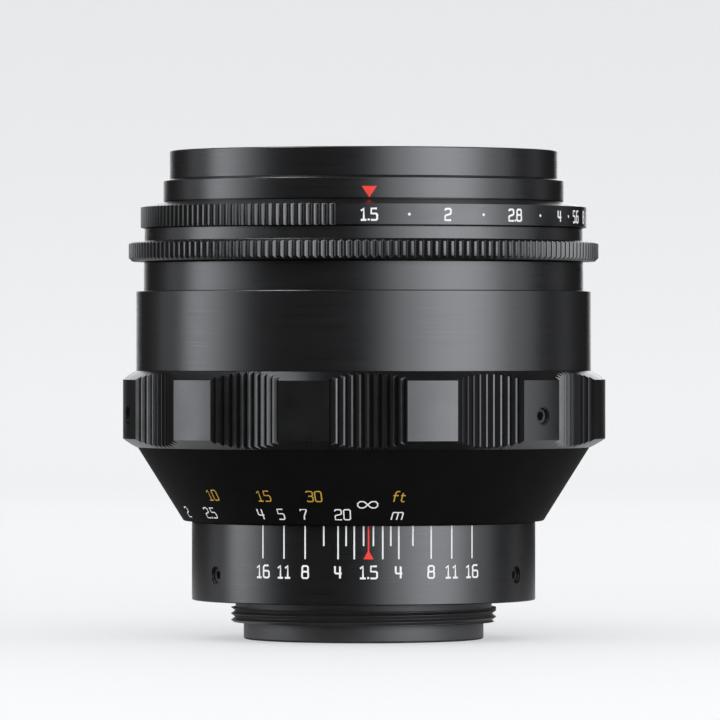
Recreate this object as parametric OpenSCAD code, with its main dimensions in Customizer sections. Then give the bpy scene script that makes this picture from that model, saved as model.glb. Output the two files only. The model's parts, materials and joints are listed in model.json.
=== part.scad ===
// Fast short-telephoto prime lens for a screw-mount camera, standing on its rear face.
// Millimetres, +Z towards the front glass, origin on the optical axis at the rear face.
// The aperture index, the depth scale's centre line and the infinity mark face -Y.

/* [Camera mount] */
// Outside diameter of the mounting thread
thread_d = 42; // [41:0.25:43]
// Pitch of the mounting thread
thread_pitch = 1; // [0.75:0.25:1]
// Length of the threaded band
thread_h = 2.3; // [2:0.1:3.5]
// Diameter of the relief behind the thread
undercut_d = 40.6; // [40.2:0.1:40.9]
// Length of the relief behind the thread
undercut_h = 1.2; // [0.8:0.1:2]
// Diameter of the plain pilot at the very rear
pilot_d = 38; // [37.5:0.25:39]
// Length of the plain pilot
pilot_h = 2.7; // [2:0.1:4]
// Clear bore through the rear of the mount
rear_bore_d = 35.8; // [34:0.2:36.4]

/* [Depth scale ring] */
// Outside diameter of the depth-of-field ring
depth_ring_d = 54.4; // [54:0.1:55]
// Height of the depth-of-field ring
depth_ring_h = 11.9; // [11:0.1:13]
// Wall of the depth-of-field ring
depth_ring_wall = 2.2; // [2:0.1:2.4]
// Diameter of the three grub screws that lock it
depth_screw_d = 2.5; // [2:0.1:2.8]
// Height of those grub screws above the flange seat
depth_screw_z = 4.3; // [3.5:0.1:5.5]

/* [Focus ring] */
// Diameter of the distance cone at its rear edge
cone_rear_d = 56.6; // [56.2:0.1:57.4]
// Diameter of the distance cone at the grip
cone_front_d = 71.6; // [70:0.1:71.8]
// Height of the distance cone
cone_h = 12.05; // [11.8:0.05:13]
// How far the plain lobes of the grip stand over the smooth sleeve
lobe_rise = 2.5; // [2.3:0.1:3]
// Height of the grip
grip_h = 11.85; // [11:0.05:13]
// Height of the slopes at both ends of the grip
grip_slope_h = 1.4; // [0.8:0.1:2]
// Lobes and scallops around the grip
scallop_n = 12; // [10:1:12]
// Width of one scallop in degrees
scallop_angle = 18; // [14:1:20]
// Depth of a scallop at its middle
scallop_depth = 1.7; // [1.4:0.1:2]
// Grooves in one scallop
ridge_n = 10; // [6:1:12]
// Depth of those grooves
ridge_depth = 0.75; // [0.4:0.05:0.8]
// How far the grip is clocked from the index in degrees
grip_turn = -0.5; // [-5:0.5:5]
// Diameter of the three grub screws that lock the grip
grip_screw_d = 2.6; // [2:0.1:2.8]
// Outside diameter of the smooth sleeve above the grip
sleeve_d = 72; // [71.8:0.1:73]
// Height of the smooth sleeve above the grip
sleeve_h = 12.8; // [12.4:0.1:14]

/* [Focus travel] */
// Focal length
focal_length = 75; // [74:0.5:76]
// Closest distance from subject to film
close_focus = 750; // [740:5:1000]
// Advance of the helicoid in one full turn
focus_lead = 15; // [14.5:0.1:16]

/* [Front barrel] */
// Outside diameter of the barrel that slides in the sleeve
barrel_d = 69.6; // [69.2:0.1:69.8]
// Height of that barrel showing at infinity
barrel_show_h = 4.7; // [4:0.1:6]
// Diameter over the knurl of the aperture ring
knurl_d = 74.4; // [73.5:0.1:75.5]
// Height of the knurled band
knurl_h = 3; // [2.6:0.1:4]
// Teeth around a knurled ring
knurl_n = 180; // [120:4:200]
// Depth of the knurl
knurl_depth = 0.42; // [0.3:0.02:0.6]
// Diameter of the plain neck above the knurl
neck_d = 69.4; // [69:0.1:70.4]
// Height of the plain neck
neck_h = 2.15; // [1.8:0.05:3]
// Diameter of the preset ring
preset_d = 70.6; // [70.4:0.1:71.4]
// Height of the preset ring's straight side
preset_h = 3.3; // [3:0.1:4.5]
// Height of the shallow cone on the preset ring
preset_cone_h = 1.05; // [0.8:0.05:1.6]
// Degrees from the index where the plain, numbered sector starts
plain_from = -8.4; // [-12:0.2:-6]
// Degrees from the index where the plain, numbered sector ends
plain_to = 98; // [96:1:110]
// Diameter of the index ring
index_d = 63.4; // [63.2:0.1:64]
// Height of the index ring's straight side
index_h = 3; // [2.6:0.1:4]
// Height of the slope on the index ring
index_slope_h = 0.6; // [0.3:0.1:1]
// Outside diameter of the filter ring
filter_ring_d = 61.4; // [61:0.1:62.6]
// Height of the filter ring that shows
filter_ring_h = 4.2; // [3.6:0.1:5]
// Diameter of the filter thread
filter_thread_d = 58; // [57.8:0.1:58.2]
// Pitch of the filter thread
filter_pitch = 0.75; // [0.75:0.05:1]

/* [Iris] */
// Diameter of the iris at full aperture
iris_open_d = 37.4; // [37:0.1:37.6]
// Diameter of the iris at the smallest aperture
iris_small_d = 3.46; // [3.3:0.02:5]
// Width of a blade
blade_w = 7; // [6.9:0.05:7.1]
// Thickness of a blade
blade_t = 0.05; // [0.04:0.005:0.06]
// Lean of each blade, as rise over run, so that the blades shingle
blade_lean = 0.11; // [0.105:0.005:0.12]
// Turn of the aperture ring from full to smallest aperture, in degrees
aperture_turn = 89; // [88:0.5:90]

/* [Glass] */
// Curvature radius, front of the front element; a positive one bulges forward
surface_1 = 80; // [78:1:90]
// Curvature radius, rear of the front element
surface_2 = 160; // [140:5:200]
// Curvature radius, front of the second element
surface_3 = 31; // [30:0.5:33]
// Curvature radius, cemented face of the front doublet
surface_4 = 180; // [150:5:220]
// Curvature radius, rear of the third element
surface_5 = 26; // [25.5:0.5:28]
// Curvature radius, front of the fourth element
surface_6 = -27; // [-29:0.5:-26.5]
// Curvature radius, cemented face of the rear doublet
surface_7 = 90; // [80:5:110]
// Curvature radius, rear of the fifth element
surface_8 = -34; // [-36:0.5:-33]
// Curvature radius, front of the rear element
surface_9 = 95; // [85:5:120]
// Curvature radius, rear of the rear element
surface_10 = -75; // [-90:5:-70]
// Diameter of the front element
front_glass_d = 51; // [50.6:0.1:51.2]
// Diameter of the second element
second_glass_d = 46; // [45.6:0.1:46.2]
// Diameter of the third element
third_glass_d = 41.6; // [41.4:0.1:41.8]
// Diameter of the fourth and fifth elements
rear_doublet_d = 36.4; // [36:0.1:36.6]
// Diameter of the rear element
rear_glass_d = 35; // [34.6:0.1:35.2]

/* [Clearances] */
// Radial gap between rings that turn or slide past each other
run_gap = 0.3; // [0.2:0.05:0.35]
// Radial gap of a close running or seated fit
fit_gap = 0.05; // [0.03:0.01:0.08]
// End gap under a ring that turns
turn_gap = 0.2; // [0.15:0.05:0.3]
// Gap filled by cement between glued elements
cement_gap = 0.02; // [0.01:0.01:0.04]

/* [Hidden] */
$fn = 96;
index_at = 270;
over = 1;
edge = 0.3;

// Heights of the fixed and focusing rings
mount_floor_t = 1.8;
spigot_h = 5;
flange_rise = 5.1;
flange_h = 2;
tail_clear = 0.9;
lip_below = 1.15;
lip_above = 1;
guide_h = 11.6;
key_over_h = 7;
z_seat = pilot_h + thread_h + undercut_h;
z_mount_floor = z_seat + mount_floor_t;
z_spigot_top = z_mount_floor + spigot_h;
z_depth_top = z_seat + depth_ring_h;
z_cone = z_depth_top + turn_gap;
z_flange = z_cone + flange_rise;
z_flange_top = z_flange + flange_h;
z_tail = z_flange_top + tail_clear;
z_grip = z_cone + cone_h;
z_grip_top = z_grip + grip_h;
z_lip = z_grip_top - lip_below;
z_lip_top = z_grip_top + lip_above;
z_sleeve_top = z_grip_top + sleeve_h;
z_guide_top = z_flange_top + guide_h;
z_key_top = z_guide_top + key_over_h;
z_depth_screw = z_seat + depth_screw_z;
depth_screws_at = [-60, 60, 180];

// Heights of the front rings
ring_gap = turn_gap / 2;
z_knurl = z_sleeve_top + barrel_show_h;
z_web_top = z_knurl - ring_gap;
z_neck = z_knurl + knurl_h;
z_neck_top = z_neck + neck_h;
z_preset = z_neck_top + ring_gap;
z_preset_edge = z_preset + preset_h;
z_preset_top = z_preset_edge + preset_cone_h;
z_index = z_preset_top + ring_gap;
z_index_edge = z_index + index_h;
z_filter = z_index_edge + index_slope_h;
z_front = z_filter + filter_ring_h;

// Radii from the guide tube outwards
guide_inset = 0.2;
guide_wall = 1.6;
key_t = 1;
tail_wall = 1;
male_wall = 1.45;
nut_wall = 1.65;
lip_w = 0.85;
sleeve_neck_wall = 1.75;
flange_w = 2.7;
spigot_wall = 2.4;
r_guide = depth_ring_d / 2 - guide_inset;
r_key = r_guide + key_t;
r_bore = r_guide + run_gap;
r_keyway = r_key + turn_gap;
r_tail = r_keyway + tail_wall;
r_male = r_tail + fit_gap + male_wall;
r_nut_in = r_male + fit_gap;
r_nut = r_nut_in + nut_wall;
r_neck_in = r_nut + fit_gap;
r_lip = r_neck_in - lip_w;
r_sleeve_neck = r_neck_in + sleeve_neck_wall;
r_grip_in = r_sleeve_neck + fit_gap;
r_barrel = barrel_d / 2;
r_sleeve_bore = r_barrel + run_gap;
r_flange = r_guide + flange_w;
r_spigot = depth_ring_d / 2 - depth_ring_wall - fit_gap;
r_socket = r_spigot - spigot_wall;

// Radii of the front barrel
arm_room = 1.2;
waist_wall = 2.2;
hub_wall = 2.8;
crown_step = 0.8;
crown_wall = 0.9;
skirt_wall = 1.1;
web_h = 2.6;
crown_drop = 0.4;
r_cell = r_guide;
r_cell_bore = r_cell + arm_room;
r_waist = r_cell_bore + waist_wall;
r_hub = r_cell_bore + hub_wall;
r_ring_bore = r_hub + fit_gap;
r_crown = r_hub - crown_step;
r_front_bore = r_crown - crown_wall;
r_skirt = r_front_bore - fit_gap;
r_index = index_d / 2;
r_preset = preset_d / 2;

// Focus travel: extension at the closest distance, and the turn that gives it
closest = close_focus - 2 * focal_length;
extension = (closest - sqrt(closest * closest - 4 * focal_length * focal_length)) / 2;
focus_turn = 360 * extension / focus_lead;
echo(extension = extension, focus_turn = focus_turn);

// Guide keys, the stop pin in its groove, and the grip's screws
key_w = 4;
key_screw_r = 0.7;
key_head_r = 1.25;
key_head_h = 0.6;
key_head_sunk = 0.1;
key_screws_up = [3, 8];
screw_slot_w = 0.35;
stop_pin_r = 0.45;
stop_pin_hole = 1.2;
stop_groove_d = 1.2;
stop_groove_h = 1.2;
stop_groove_margin = 2.2;
grip_d = sleeve_d + 2 * lobe_rise;
grip_screws_at = [45, 165, -75];
z_grip_screw = z_grip + 5.15;
screw_point = 0.5;

// Iris: blades that turn on pivots in the housing and are driven by slots in the drive ring
blade_n = 12;
blade_from = -9;
tab_r = 1.1;
pin_r = 0.4;
pivot_pin_l = 1.2;
drive_reach = 0.6;
slot_gap = 0.4;
lean_at = 185;
drive_at = 126;
floor_lift = 0.6;
floor_t = 1;
blade_clear = 0.27;
drive_t = 1;
drive_wall = 0.35;
drive_web = 0.9;
ledge_rise = 1.9;
ledge_t = 1;
cell_rise = 0.5;
housing_inset = 0.15;
floor_over = 0.2;
r_open = iris_open_d / 2;
r_blade = r_open + blade_w;
r_pivot = r_blade - tab_r;
blade_turn = 2 * asin((r_open - iris_small_d / 2) / (2 * r_pivot));
lean_angle = atan(blade_lean);
lean_rise = blade_lean * r_blade;
z_floor = z_guide_top + floor_lift;
z_floor_top = z_floor + floor_t;
z_iris = z_floor_top + lean_rise + blade_clear;
z_drive = z_iris + lean_rise;
z_drive_top = z_drive + drive_t;
z_ledge = z_drive_top + ledge_rise;
z_cell = z_drive_top + cell_rise;
r_iris_bore = r_blade + run_gap;
r_drive = r_iris_bore + drive_wall;
r_housing = r_guide - housing_inset;
drive_pin_l = z_drive + drive_reach - z_iris - blade_lean * r_pivot * cos(drive_at - lean_at);
echo(blade_turn = blade_turn, ratio = blade_turn / aperture_turn);

// Drive arm and the screw that ties the aperture ring to it
arm_angle = 8;
arm_at = index_at - 50;
arm_t = 1;
arm_w = 0.9;
arm_over = 0.3;
drive_screw_r = 0.8;
drive_screw_in = 1.9;
screw_slot_h = 2 * drive_screw_r + turn_gap;
screw_slot_end = 0.15;
r_arm_in = r_cell + run_gap;
r_arm = r_cell_bore - turn_gap;
z_arm = z_ledge + ledge_t + turn_gap;
z_drive_screw = z_knurl + knurl_h / 2;
z_arm_top = z_drive_screw + drive_screw_r + arm_over;

// Thickness of the glass on the axis, and the air between the groups
front_t = 5.8;
second_t = 11;
third_t = 2.5;
fourth_t = 2.2;
fifth_t = 10.5;
rear_t = 6.2;
group_air = 0.5;
iris_to_front = 11.5;
iris_to_rear = 10.5;

// Vertex heights of the glass, stacked outwards from the iris
v_5 = z_iris + iris_to_front;
v_4 = v_5 + third_t;
v_3 = v_4 + second_t;
v_2 = v_3 + group_air;
v_1 = v_2 + front_t;
v_6 = z_iris - iris_to_rear;
v_7 = v_6 - fourth_t;
v_8 = v_7 - fifth_t;
v_9 = v_8 - group_air;
v_10 = v_9 - rear_t;

// Height of a spherical surface at a distance from the axis
function surface_z(vertex, radius, at_r) =
    vertex - radius + sign(radius) * sqrt(radius * radius - at_r * at_r);

// Seats of the glass
seat_w = 1.5;
third_rim = 3;
fourth_rim = 1.7;
rib_w = 1.4;
rear_cell_wall = 2;
rear_cell_over = 0.2;
cell_flange_t = 1.4;
cell_flange_gap = 0.6;
front_flange_rise = 0.5;
front_flange_t = 1.8;
name_ring_drop = 2;
name_ring_inset = 1.2;
name_ring_lip = 0.9;
glass_lap = 0.7;
glass_touch = 0.02;
r_front_glass = front_glass_d / 2;
r_second_glass = second_glass_d / 2;
r_third_glass = third_glass_d / 2;
r_rear_doublet = rear_doublet_d / 2;
r_rear_glass = rear_glass_d / 2;
z_front_seat = surface_z(v_2, surface_2, r_front_glass - seat_w);
z_second_seat = surface_z(v_4, surface_4, r_second_glass - seat_w);
z_third_rim = surface_z(v_5, surface_5, r_third_glass - third_rim);
r_fourth_clear = r_rear_doublet - fourth_rim;
z_fourth_rim = surface_z(v_6, surface_6, r_fourth_clear);
r_rib = r_rear_doublet - rib_w;
z_rib_top = surface_z(v_8, surface_8, r_rib);
z_rib = surface_z(v_9, surface_9, r_rear_glass - seat_w);
r_rear_cell = r_rear_doublet + rear_cell_wall;
r_base_bore = r_rear_cell + run_gap;
z_rear_cell = v_10 - rear_cell_over;
r_cell_flange = r_guide - guide_wall - cell_flange_gap;
z_cell_flange = z_neck + front_flange_rise;
z_cell_flange_top = z_cell_flange + front_flange_t;
z_cell_front = z_filter - name_ring_drop;
r_name_ring = filter_thread_d / 2 - name_ring_inset;
r_filter_bore = filter_thread_d / 2 - 0.54 * filter_pitch;
r_filter_skirt = r_name_ring + 5 * fit_gap;

// Screws that hold the rear cell to the iris housing
cell_screw_r = 0.7;
cell_screw_head_r = 1.3;
cell_screw_head_h = 0.8;
r_cell_screw = r_cell_flange - 2.2;

// Click stops of the preset ring: ball, spring and stop screw
click_at = index_at + 140;
ball_r = 0.95;
ball_sunk = 0.55;
spring_t = 0.15;
spring_h = 1.4;
spring_angle = 24;
click_groove_h = 1.6;
click_groove_gap = 0.15;
click_r = 0.6;
stop_at = index_at + 180;
stop_r = 0.4;
stop_screw_l = 1.3;
stop_screw_in = 0.8;
stop_marks = [0, 20, 40.5, 59, 69.6, 77.6, 84, aperture_turn];
z_ball = z_preset + preset_h / 2;
r_ball = r_hub - ball_sunk;
r_spring = r_ball - ball_r - spring_t;
r_click_groove = r_ball + ball_r + click_groove_gap;
z_stop = z_preset_edge + turn_gap;

black = [0.06, 0.06, 0.065];
dark = [0.12, 0.12, 0.13];
brass = [0.72, 0.58, 0.30];
steel = [0.62, 0.63, 0.65];
glass = [0.55, 0.62, 0.75, 0.6];

function blade_name(i) = str("iris_blade_", i < 10 ? "0" : "", i);
function blade_angle(i) = index_at + blade_from + i * 360 / blade_n;
function polar(r, a) = [r * cos(a), r * sin(a)];
function arc(r, from, to, steps) = [for (i = [0:steps]) polar(r, from + (to - from) * i / steps)];

// A body of revolution from its half section, given as [radius, height] points
module turned(points) {
    rotate_extrude() polygon(points);
}

// Part of such a body: middle angle and width in degrees
module turned_part(points, middle, width) {
    rotate([0, 0, middle - width / 2])
        rotate_extrude(angle = width) polygon(points);
}

// A ring sector of rectangular section
module sector(r_in, r_out, z_low, z_high, middle, width) {
    turned_part([[r_in, z_low], [r_out, z_low], [r_out, z_high], [r_in, z_high]], middle, width);
}

// Places a child, drawn along +Z, along the radius at an angle and a height
module radial(angle, z) {
    rotate([0, 0, angle]) translate([0, 0, z]) rotate([0, 90, 0]) children();
}

// A grub screw along +Z with a cone point at z = 0 and a hexagon socket
module grub_screw(r, length) {
    tip = 0.3 * r;
    socket_r = 0.58 * r;
    socket_depth = 1.1 * r;
    difference() {
        union() {
            cylinder(h = screw_point, r1 = tip, r2 = r);
            translate([0, 0, screw_point]) cylinder(h = length - screw_point, r = r);
        }
        translate([0, 0, length - socket_depth]) cylinder(h = socket_depth + over, r = socket_r, $fn = 6);
    }
}

// The V grooves of a thread, one for each turn: crest radius, depth (negative inwards) and heights
module thread_grooves(r_crest, depth, pitch, z_low, z_high) {
    half = 0.36 * pitch;
    spill = sign(depth) * 0.1;
    mouth = half * (1 + spill / depth);
    for (z = [z_low + pitch / 2:pitch:z_high - half])
        turned([[r_crest - spill, z - mouth], [r_crest + depth, z], [r_crest - spill, z + mouth]]);
}

// Lens element between two spherical surfaces, with a plain cylindrical edge
module element(r, z_low, z_high, front_v, front_r, rear_v, rear_r) {
    trim_by_surface(front_v, front_r, true)
        trim_by_surface(rear_v, rear_r, false)
            translate([0, 0, z_low]) cylinder(h = z_high - z_low, r = r);
}

// Keeps the part of a child behind a surface (front = true) or ahead of it (front = false)
module trim_by_surface(vertex, radius, front) {
    if (sign(radius) > 0 == front) {
        intersection() {
            children();
            translate([0, 0, vertex - radius]) sphere(r = abs(radius));
        }
    } else {
        difference() {
            children();
            translate([0, 0, vertex - radius]) sphere(r = abs(radius));
        }
    }
}

module mount_ring() {
    r = thread_d / 2;
    r_rear = rear_bore_d / 2;
    r_pilot = pilot_d / 2;
    r_undercut = undercut_d / 2;
    z_thread = pilot_h + thread_h;
    lead = 0.35;
    notch_d = 0.8;
    notch_half = 1.3;
    color(dark) difference() {
        turned([[r_rear, 0], [r_pilot - lead, 0], [r_pilot, lead], [r_pilot, pilot_h], [r - lead, pilot_h],
                [r, pilot_h + lead], [r, z_thread], [r_undercut, z_thread], [r_undercut, z_seat],
                [r_spigot, z_seat], [r_spigot, z_spigot_top], [r_socket, z_spigot_top],
                [r_socket, z_mount_floor], [r_rear, z_mount_floor]]);
        thread_grooves(r, -0.6 * thread_pitch, thread_pitch, pilot_h + lead / 2, z_thread);
        turned([[r_spigot - notch_d, z_depth_screw], [r_spigot + notch_d, z_depth_screw - 2 * notch_half],
                [r_spigot + notch_d, z_depth_screw + 2 * notch_half]]);
    }
}

module depth_scale_ring() {
    r = depth_ring_d / 2;
    r_in = r_spigot + fit_gap;
    color(black) difference() {
        turned([[r_in, z_seat], [r - edge, z_seat], [r, z_seat + edge], [r, z_depth_top - edge],
                [r - edge, z_depth_top], [r_in, z_depth_top]]);
        for (a = depth_screws_at)
            radial(index_at + a, z_depth_screw)
                translate([0, 0, r_in - over])
                    cylinder(h = depth_ring_wall + 2 * over, r = depth_screw_d / 2);
    }
}

module mount_set_screws() {
    bite = 0.3;
    color(steel)
        for (a = depth_screws_at)
            radial(index_at + a, z_depth_screw)
                translate([0, 0, r_spigot - bite])
                    grub_screw(depth_screw_d / 2 - fit_gap, depth_ring_wall - turn_gap);
}

module base_tube() {
    step_h = 2;
    z_groove = z_flange + flange_h / 2;
    z_step = z_depth_top + step_h;
    r_foot = r_socket - fit_gap;
    color(dark) difference() {
        turned([[r_base_bore, z_mount_floor], [r_foot, z_mount_floor], [r_foot, z_spigot_top],
                [r_spigot, z_spigot_top], [r_spigot, z_depth_top], [r_guide, z_depth_top],
                [r_guide, z_flange], [r_flange, z_flange], [r_flange, z_flange_top], [r_guide, z_flange_top],
                [r_guide, z_guide_top], [r_guide - guide_wall, z_guide_top], [r_guide - guide_wall, z_step],
                [r_base_bore, z_step]]);
        sector(r_flange - stop_groove_d, r_flange + over, z_groove - stop_groove_h / 2,
               z_groove + stop_groove_h / 2, index_at + focus_turn / 2, focus_turn + stop_groove_margin);
        key_screw_places() cylinder(h = r_key + over, r = key_screw_r + fit_gap);
    }
}

// Radial axes of the four screws that hold the guide keys
module key_screw_places() {
    for (side = [0, 180], up = key_screws_up)
        radial(side, z_flange_top + up) children();
}

// The two opposite bands that the guide keys and their keyways lie in
module key_bands(width) {
    translate([-2 * r_key, -width / 2, 0]) cube([4 * r_key, width, 2 * z_key_top]);
}

module guide_keys() {
    head_seat = r_key - key_head_h - key_head_sunk;
    r_in = r_guide + fit_gap;
    color(brass) difference() {
        intersection() {
            turned([[r_in, z_flange_top], [r_key, z_flange_top], [r_key, z_key_top], [r_in, z_key_top]]);
            key_bands(key_w);
        }
        key_screw_places() cylinder(h = r_key + over, r = key_screw_r + fit_gap);
        key_screw_places()
            translate([0, 0, head_seat]) cylinder(h = key_head_h + over, r = key_head_r + fit_gap);
    }
}

module guide_key_screws() {
    head_seat = r_key - key_head_h - key_head_sunk;
    slot_depth = 0.3;
    color(steel) key_screw_places() difference() {
        union() {
            translate([0, 0, r_guide - guide_wall + turn_gap])
                cylinder(h = head_seat - r_guide + guide_wall, r = key_screw_r);
            translate([0, 0, head_seat]) cylinder(h = key_head_h, r = key_head_r);
        }
        translate([-2 * key_head_r, -screw_slot_w / 2, head_seat + key_head_h - slot_depth])
            cube([4 * key_head_r, screw_slot_w, over]);
    }
}

module distance_scale_ring() {
    r_low = cone_rear_d / 2;
    r_high = cone_front_d / 2;
    r_step = r_flange + run_gap;
    r_in = r_guide + run_gap;
    z_step = z_flange_top + turn_gap;
    color(black) difference() {
        turned([[r_in, z_cone], [r_low - edge, z_cone], [r_low, z_cone + edge], [r_high, z_grip],
                [r_lip, z_grip], [r_lip, z_step], [r_step, z_step], [r_step, z_flange - turn_gap],
                [r_in, z_flange - turn_gap]]);
        radial(index_at, z_flange + flange_h / 2)
            translate([0, 0, r_step - over]) cylinder(h = stop_pin_hole + over, r = stop_pin_r + fit_gap);
    }
}

module focus_stop_pin() {
    reach = 0.9;
    color(steel)
        radial(index_at, z_flange + flange_h / 2)
            translate([0, 0, r_flange - reach])
                cylinder(h = reach + run_gap + stop_pin_hole - fit_gap, r = stop_pin_r);
}

module helicoid_nut() {
    color(brass)
        turned([[r_nut_in, z_grip], [r_nut, z_grip], [r_nut, z_lip], [r_nut_in, z_lip]]);
}

module focus_sleeve() {
    r = sleeve_d / 2;
    color(black)
        turned([[r_neck_in, z_grip], [r_sleeve_neck, z_grip], [r_sleeve_neck, z_grip_top], [r, z_grip_top],
                [r, z_sleeve_top - edge], [r - edge, z_sleeve_top], [r_sleeve_bore, z_sleeve_top],
                [r_sleeve_bore, z_lip_top], [r_lip, z_lip_top], [r_lip, z_lip], [r_neck_in, z_lip]]);
}

// Outline that cuts one scallop: grooves along a hollow arc, closed outside the grip
module scallop_outline() {
    r = grip_d / 2 + fit_gap;
    half = scallop_angle / 2;
    chord = r * sin(half);
    bottom = grip_d / 2 - scallop_depth;
    rise = r * cos(half) - bottom;
    hollow_r = (chord * chord + rise * rise) / (2 * rise);
    hollow_half = asin(chord / hollow_r);
    centre = bottom + hollow_r;
    tips = [for (i = [0:2 * ridge_n])
        let (a = -hollow_half + hollow_half * i / ridge_n,
             d = i % 2 == 0 ? hollow_r : hollow_r + ridge_depth)
        [centre - d * cos(a), d * sin(a)]];
    polygon(concat(tips, [[r + over, chord], [r + over, -chord]]));
}

module focus_grip() {
    r = grip_d / 2;
    r_root = r - scallop_depth - ridge_depth - fit_gap;
    color(black) difference() {
        turned([[r_grip_in, z_grip], [r_root, z_grip], [r, z_grip + grip_slope_h],
                [r, z_grip_top - grip_slope_h], [r_root, z_grip_top], [r_grip_in, z_grip_top]]);
        for (k = [0:scallop_n - 1])
            rotate([0, 0, index_at + grip_turn + k * 360 / scallop_n])
                translate([0, 0, z_grip - over]) linear_extrude(grip_h + 2 * over) scallop_outline();
        for (a = grip_screws_at)
            radial(index_at + grip_turn + a, z_grip_screw)
                translate([0, 0, r_grip_in - over]) cylinder(h = r, r = grip_screw_d / 2);
    }
}

module grip_set_screws() {
    sunk = 0.5;
    color(steel)
        for (a = grip_screws_at)
            radial(index_at + grip_turn + a, z_grip_screw)
                translate([0, 0, r_grip_in])
                    grub_screw(grip_screw_d / 2 - fit_gap, grip_d / 2 - r_grip_in - sunk);
}

module main_barrel() {
    key_gap = 2 * fit_gap;
    r_skirt_in = r_barrel - skirt_wall;
    z_skirt = z_lip_top + turn_gap;
    z_waist = z_ledge - crown_drop;
    z_crown = z_filter - crown_drop;
    z_keyway_top = z_key_top + 2 * turn_gap;
    spring_room = spring_h / 2 + 2 * fit_gap;
    color(black) difference() {
        turned([[r_bore, z_tail], [r_tail, z_tail], [r_tail, z_waist], [r_waist, z_waist],
                [r_waist, z_web_top - web_h], [r_skirt_in, z_web_top - web_h], [r_skirt_in, z_skirt],
                [r_barrel, z_skirt], [r_barrel, z_web_top - edge], [r_barrel - edge, z_web_top],
                [r_hub, z_web_top], [r_hub, z_index], [r_crown, z_index], [r_crown, z_crown],
                [r_front_bore, z_crown], [r_front_bore, z_cell_flange], [r_cell_bore, z_cell_flange],
                [r_cell_bore, z_ledge], [r_bore, z_ledge]]);
        intersection() {
            turned([[r_bore - over, z_tail - over], [r_keyway, z_tail - over], [r_keyway, z_keyway_top],
                    [r_bore - over, z_keyway_top]]);
            key_bands(key_w + key_gap);
        }
        sector(r_cell_bore - over, r_hub + over, z_drive_screw - screw_slot_h / 2,
               z_drive_screw + screw_slot_h / 2, arm_at - aperture_turn / 2,
               aperture_turn + 2 * asin((drive_screw_r + screw_slot_end) / r_cell_bore));
        sector(r_front_bore - over, r_spring + spring_t + fit_gap, z_ball - spring_room, z_ball + spring_room,
               click_at, spring_angle + 2);
        radial(click_at, z_ball)
            translate([0, 0, r_spring]) cylinder(h = r_hub - r_spring + over, r = ball_r + fit_gap);
        radial(stop_at, z_stop)
            translate([0, 0, r_hub - stop_screw_in]) cylinder(h = stop_screw_in + over, r = stop_r + fit_gap);
    }
}

module inner_helicoid() {
    r_in = r_tail + fit_gap;
    z_top = z_lip - over;
    color(brass)
        turned([[r_in, z_tail], [r_male, z_tail], [r_male, z_top], [r_in, z_top]]);
}

// Axes of the four screws that hold the rear cell to the iris housing
module cell_screw_places() {
    for (a = [45:90:315])
        rotate([0, 0, a]) translate([r_cell_screw, 0, 0]) children();
}

// Lays a child in the leaning plane of one blade, with the pivot on the local +X axis
module blade_plane(i) {
    translate([0, 0, z_iris])
        rotate([0, 0, blade_angle(i) - lean_at])
            rotate([0, -lean_angle, 0])
                rotate([0, 0, lean_at]) children();
}

module iris_housing() {
    r_rim = r_bore - fit_gap;
    r_ledge = r_cell_bore - fit_gap;
    r_seat = r_drive + fit_gap;
    r_hole = r_open - floor_over;
    z_rim = z_key_top + 3 * turn_gap;
    z_seat_low = z_drive - fit_gap;
    hole_l = pivot_pin_l + over;
    color(dark) difference() {
        turned([[r_hole, z_floor], [r_housing, z_floor], [r_housing, z_rim], [r_rim, z_rim], [r_rim, z_ledge],
                [r_ledge, z_ledge], [r_ledge, z_ledge + ledge_t], [r_seat, z_ledge + ledge_t],
                [r_seat, z_seat_low], [r_iris_bore, z_seat_low], [r_iris_bore, z_floor_top],
                [r_hole, z_floor_top]]);
        for (i = [1:blade_n])
            blade_plane(i) translate([r_pivot, 0, -hole_l]) cylinder(h = hole_l, r = pin_r + fit_gap);
        cell_screw_places()
            translate([0, 0, z_floor - over]) cylinder(h = floor_t + 2 * over, r = cell_screw_r + fit_gap);
    }
}

// Outline of a blade at full aperture: a curved strip with a pivot tab and a narrow driven tail
module blade_outline() {
    strip_from = -10;
    strip_to = -78;
    tail_from = -92;
    tab_to = -4;
    polygon(concat(
        arc(r_open, strip_from, strip_to, 24),
        arc(r_pivot - tab_r, tail_from, -drive_at, 10),
        [for (i = [1:9]) polar(r_pivot, -drive_at) + polar(tab_r, 180 - drive_at + 18 * i)],
        arc(r_blade, -drive_at, tab_to, 40),
        [for (i = [0:10]) [r_pivot, 0] + polar(tab_r, 18 * i)]));
}

module iris_blade(i) {
    color(dark) blade_plane(i) {
        translate([0, 0, -blade_t / 2]) linear_extrude(blade_t) blade_outline();
        translate([r_pivot, 0, -pivot_pin_l]) cylinder(h = pivot_pin_l, r = pin_r);
        translate(concat(polar(r_pivot, -drive_at), 0)) cylinder(h = drive_pin_l, r = pin_r);
    }
}

// Turns a point of the plane about the axis
function spun(p, a) = [p[0] * cos(a) - p[1] * sin(a), p[0] * sin(a) + p[1] * cos(a)];

// Where a leaning drive pin passes through the drive ring, in the ring's own frame, from full (0) to
// smallest (1) aperture
function drive_pin_place(f) =
    let (p = spun(polar(r_pivot, -drive_at) - [r_pivot, 0], -blade_turn * f) + [r_pivot, 0],
         q = spun(p, lean_at),
         up = z_drive + drive_t / 2 - z_iris,
         leant = [q[0] / cos(lean_angle) - up * blade_lean, q[1]])
    spun(leant, aperture_turn * f - lean_at);

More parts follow.
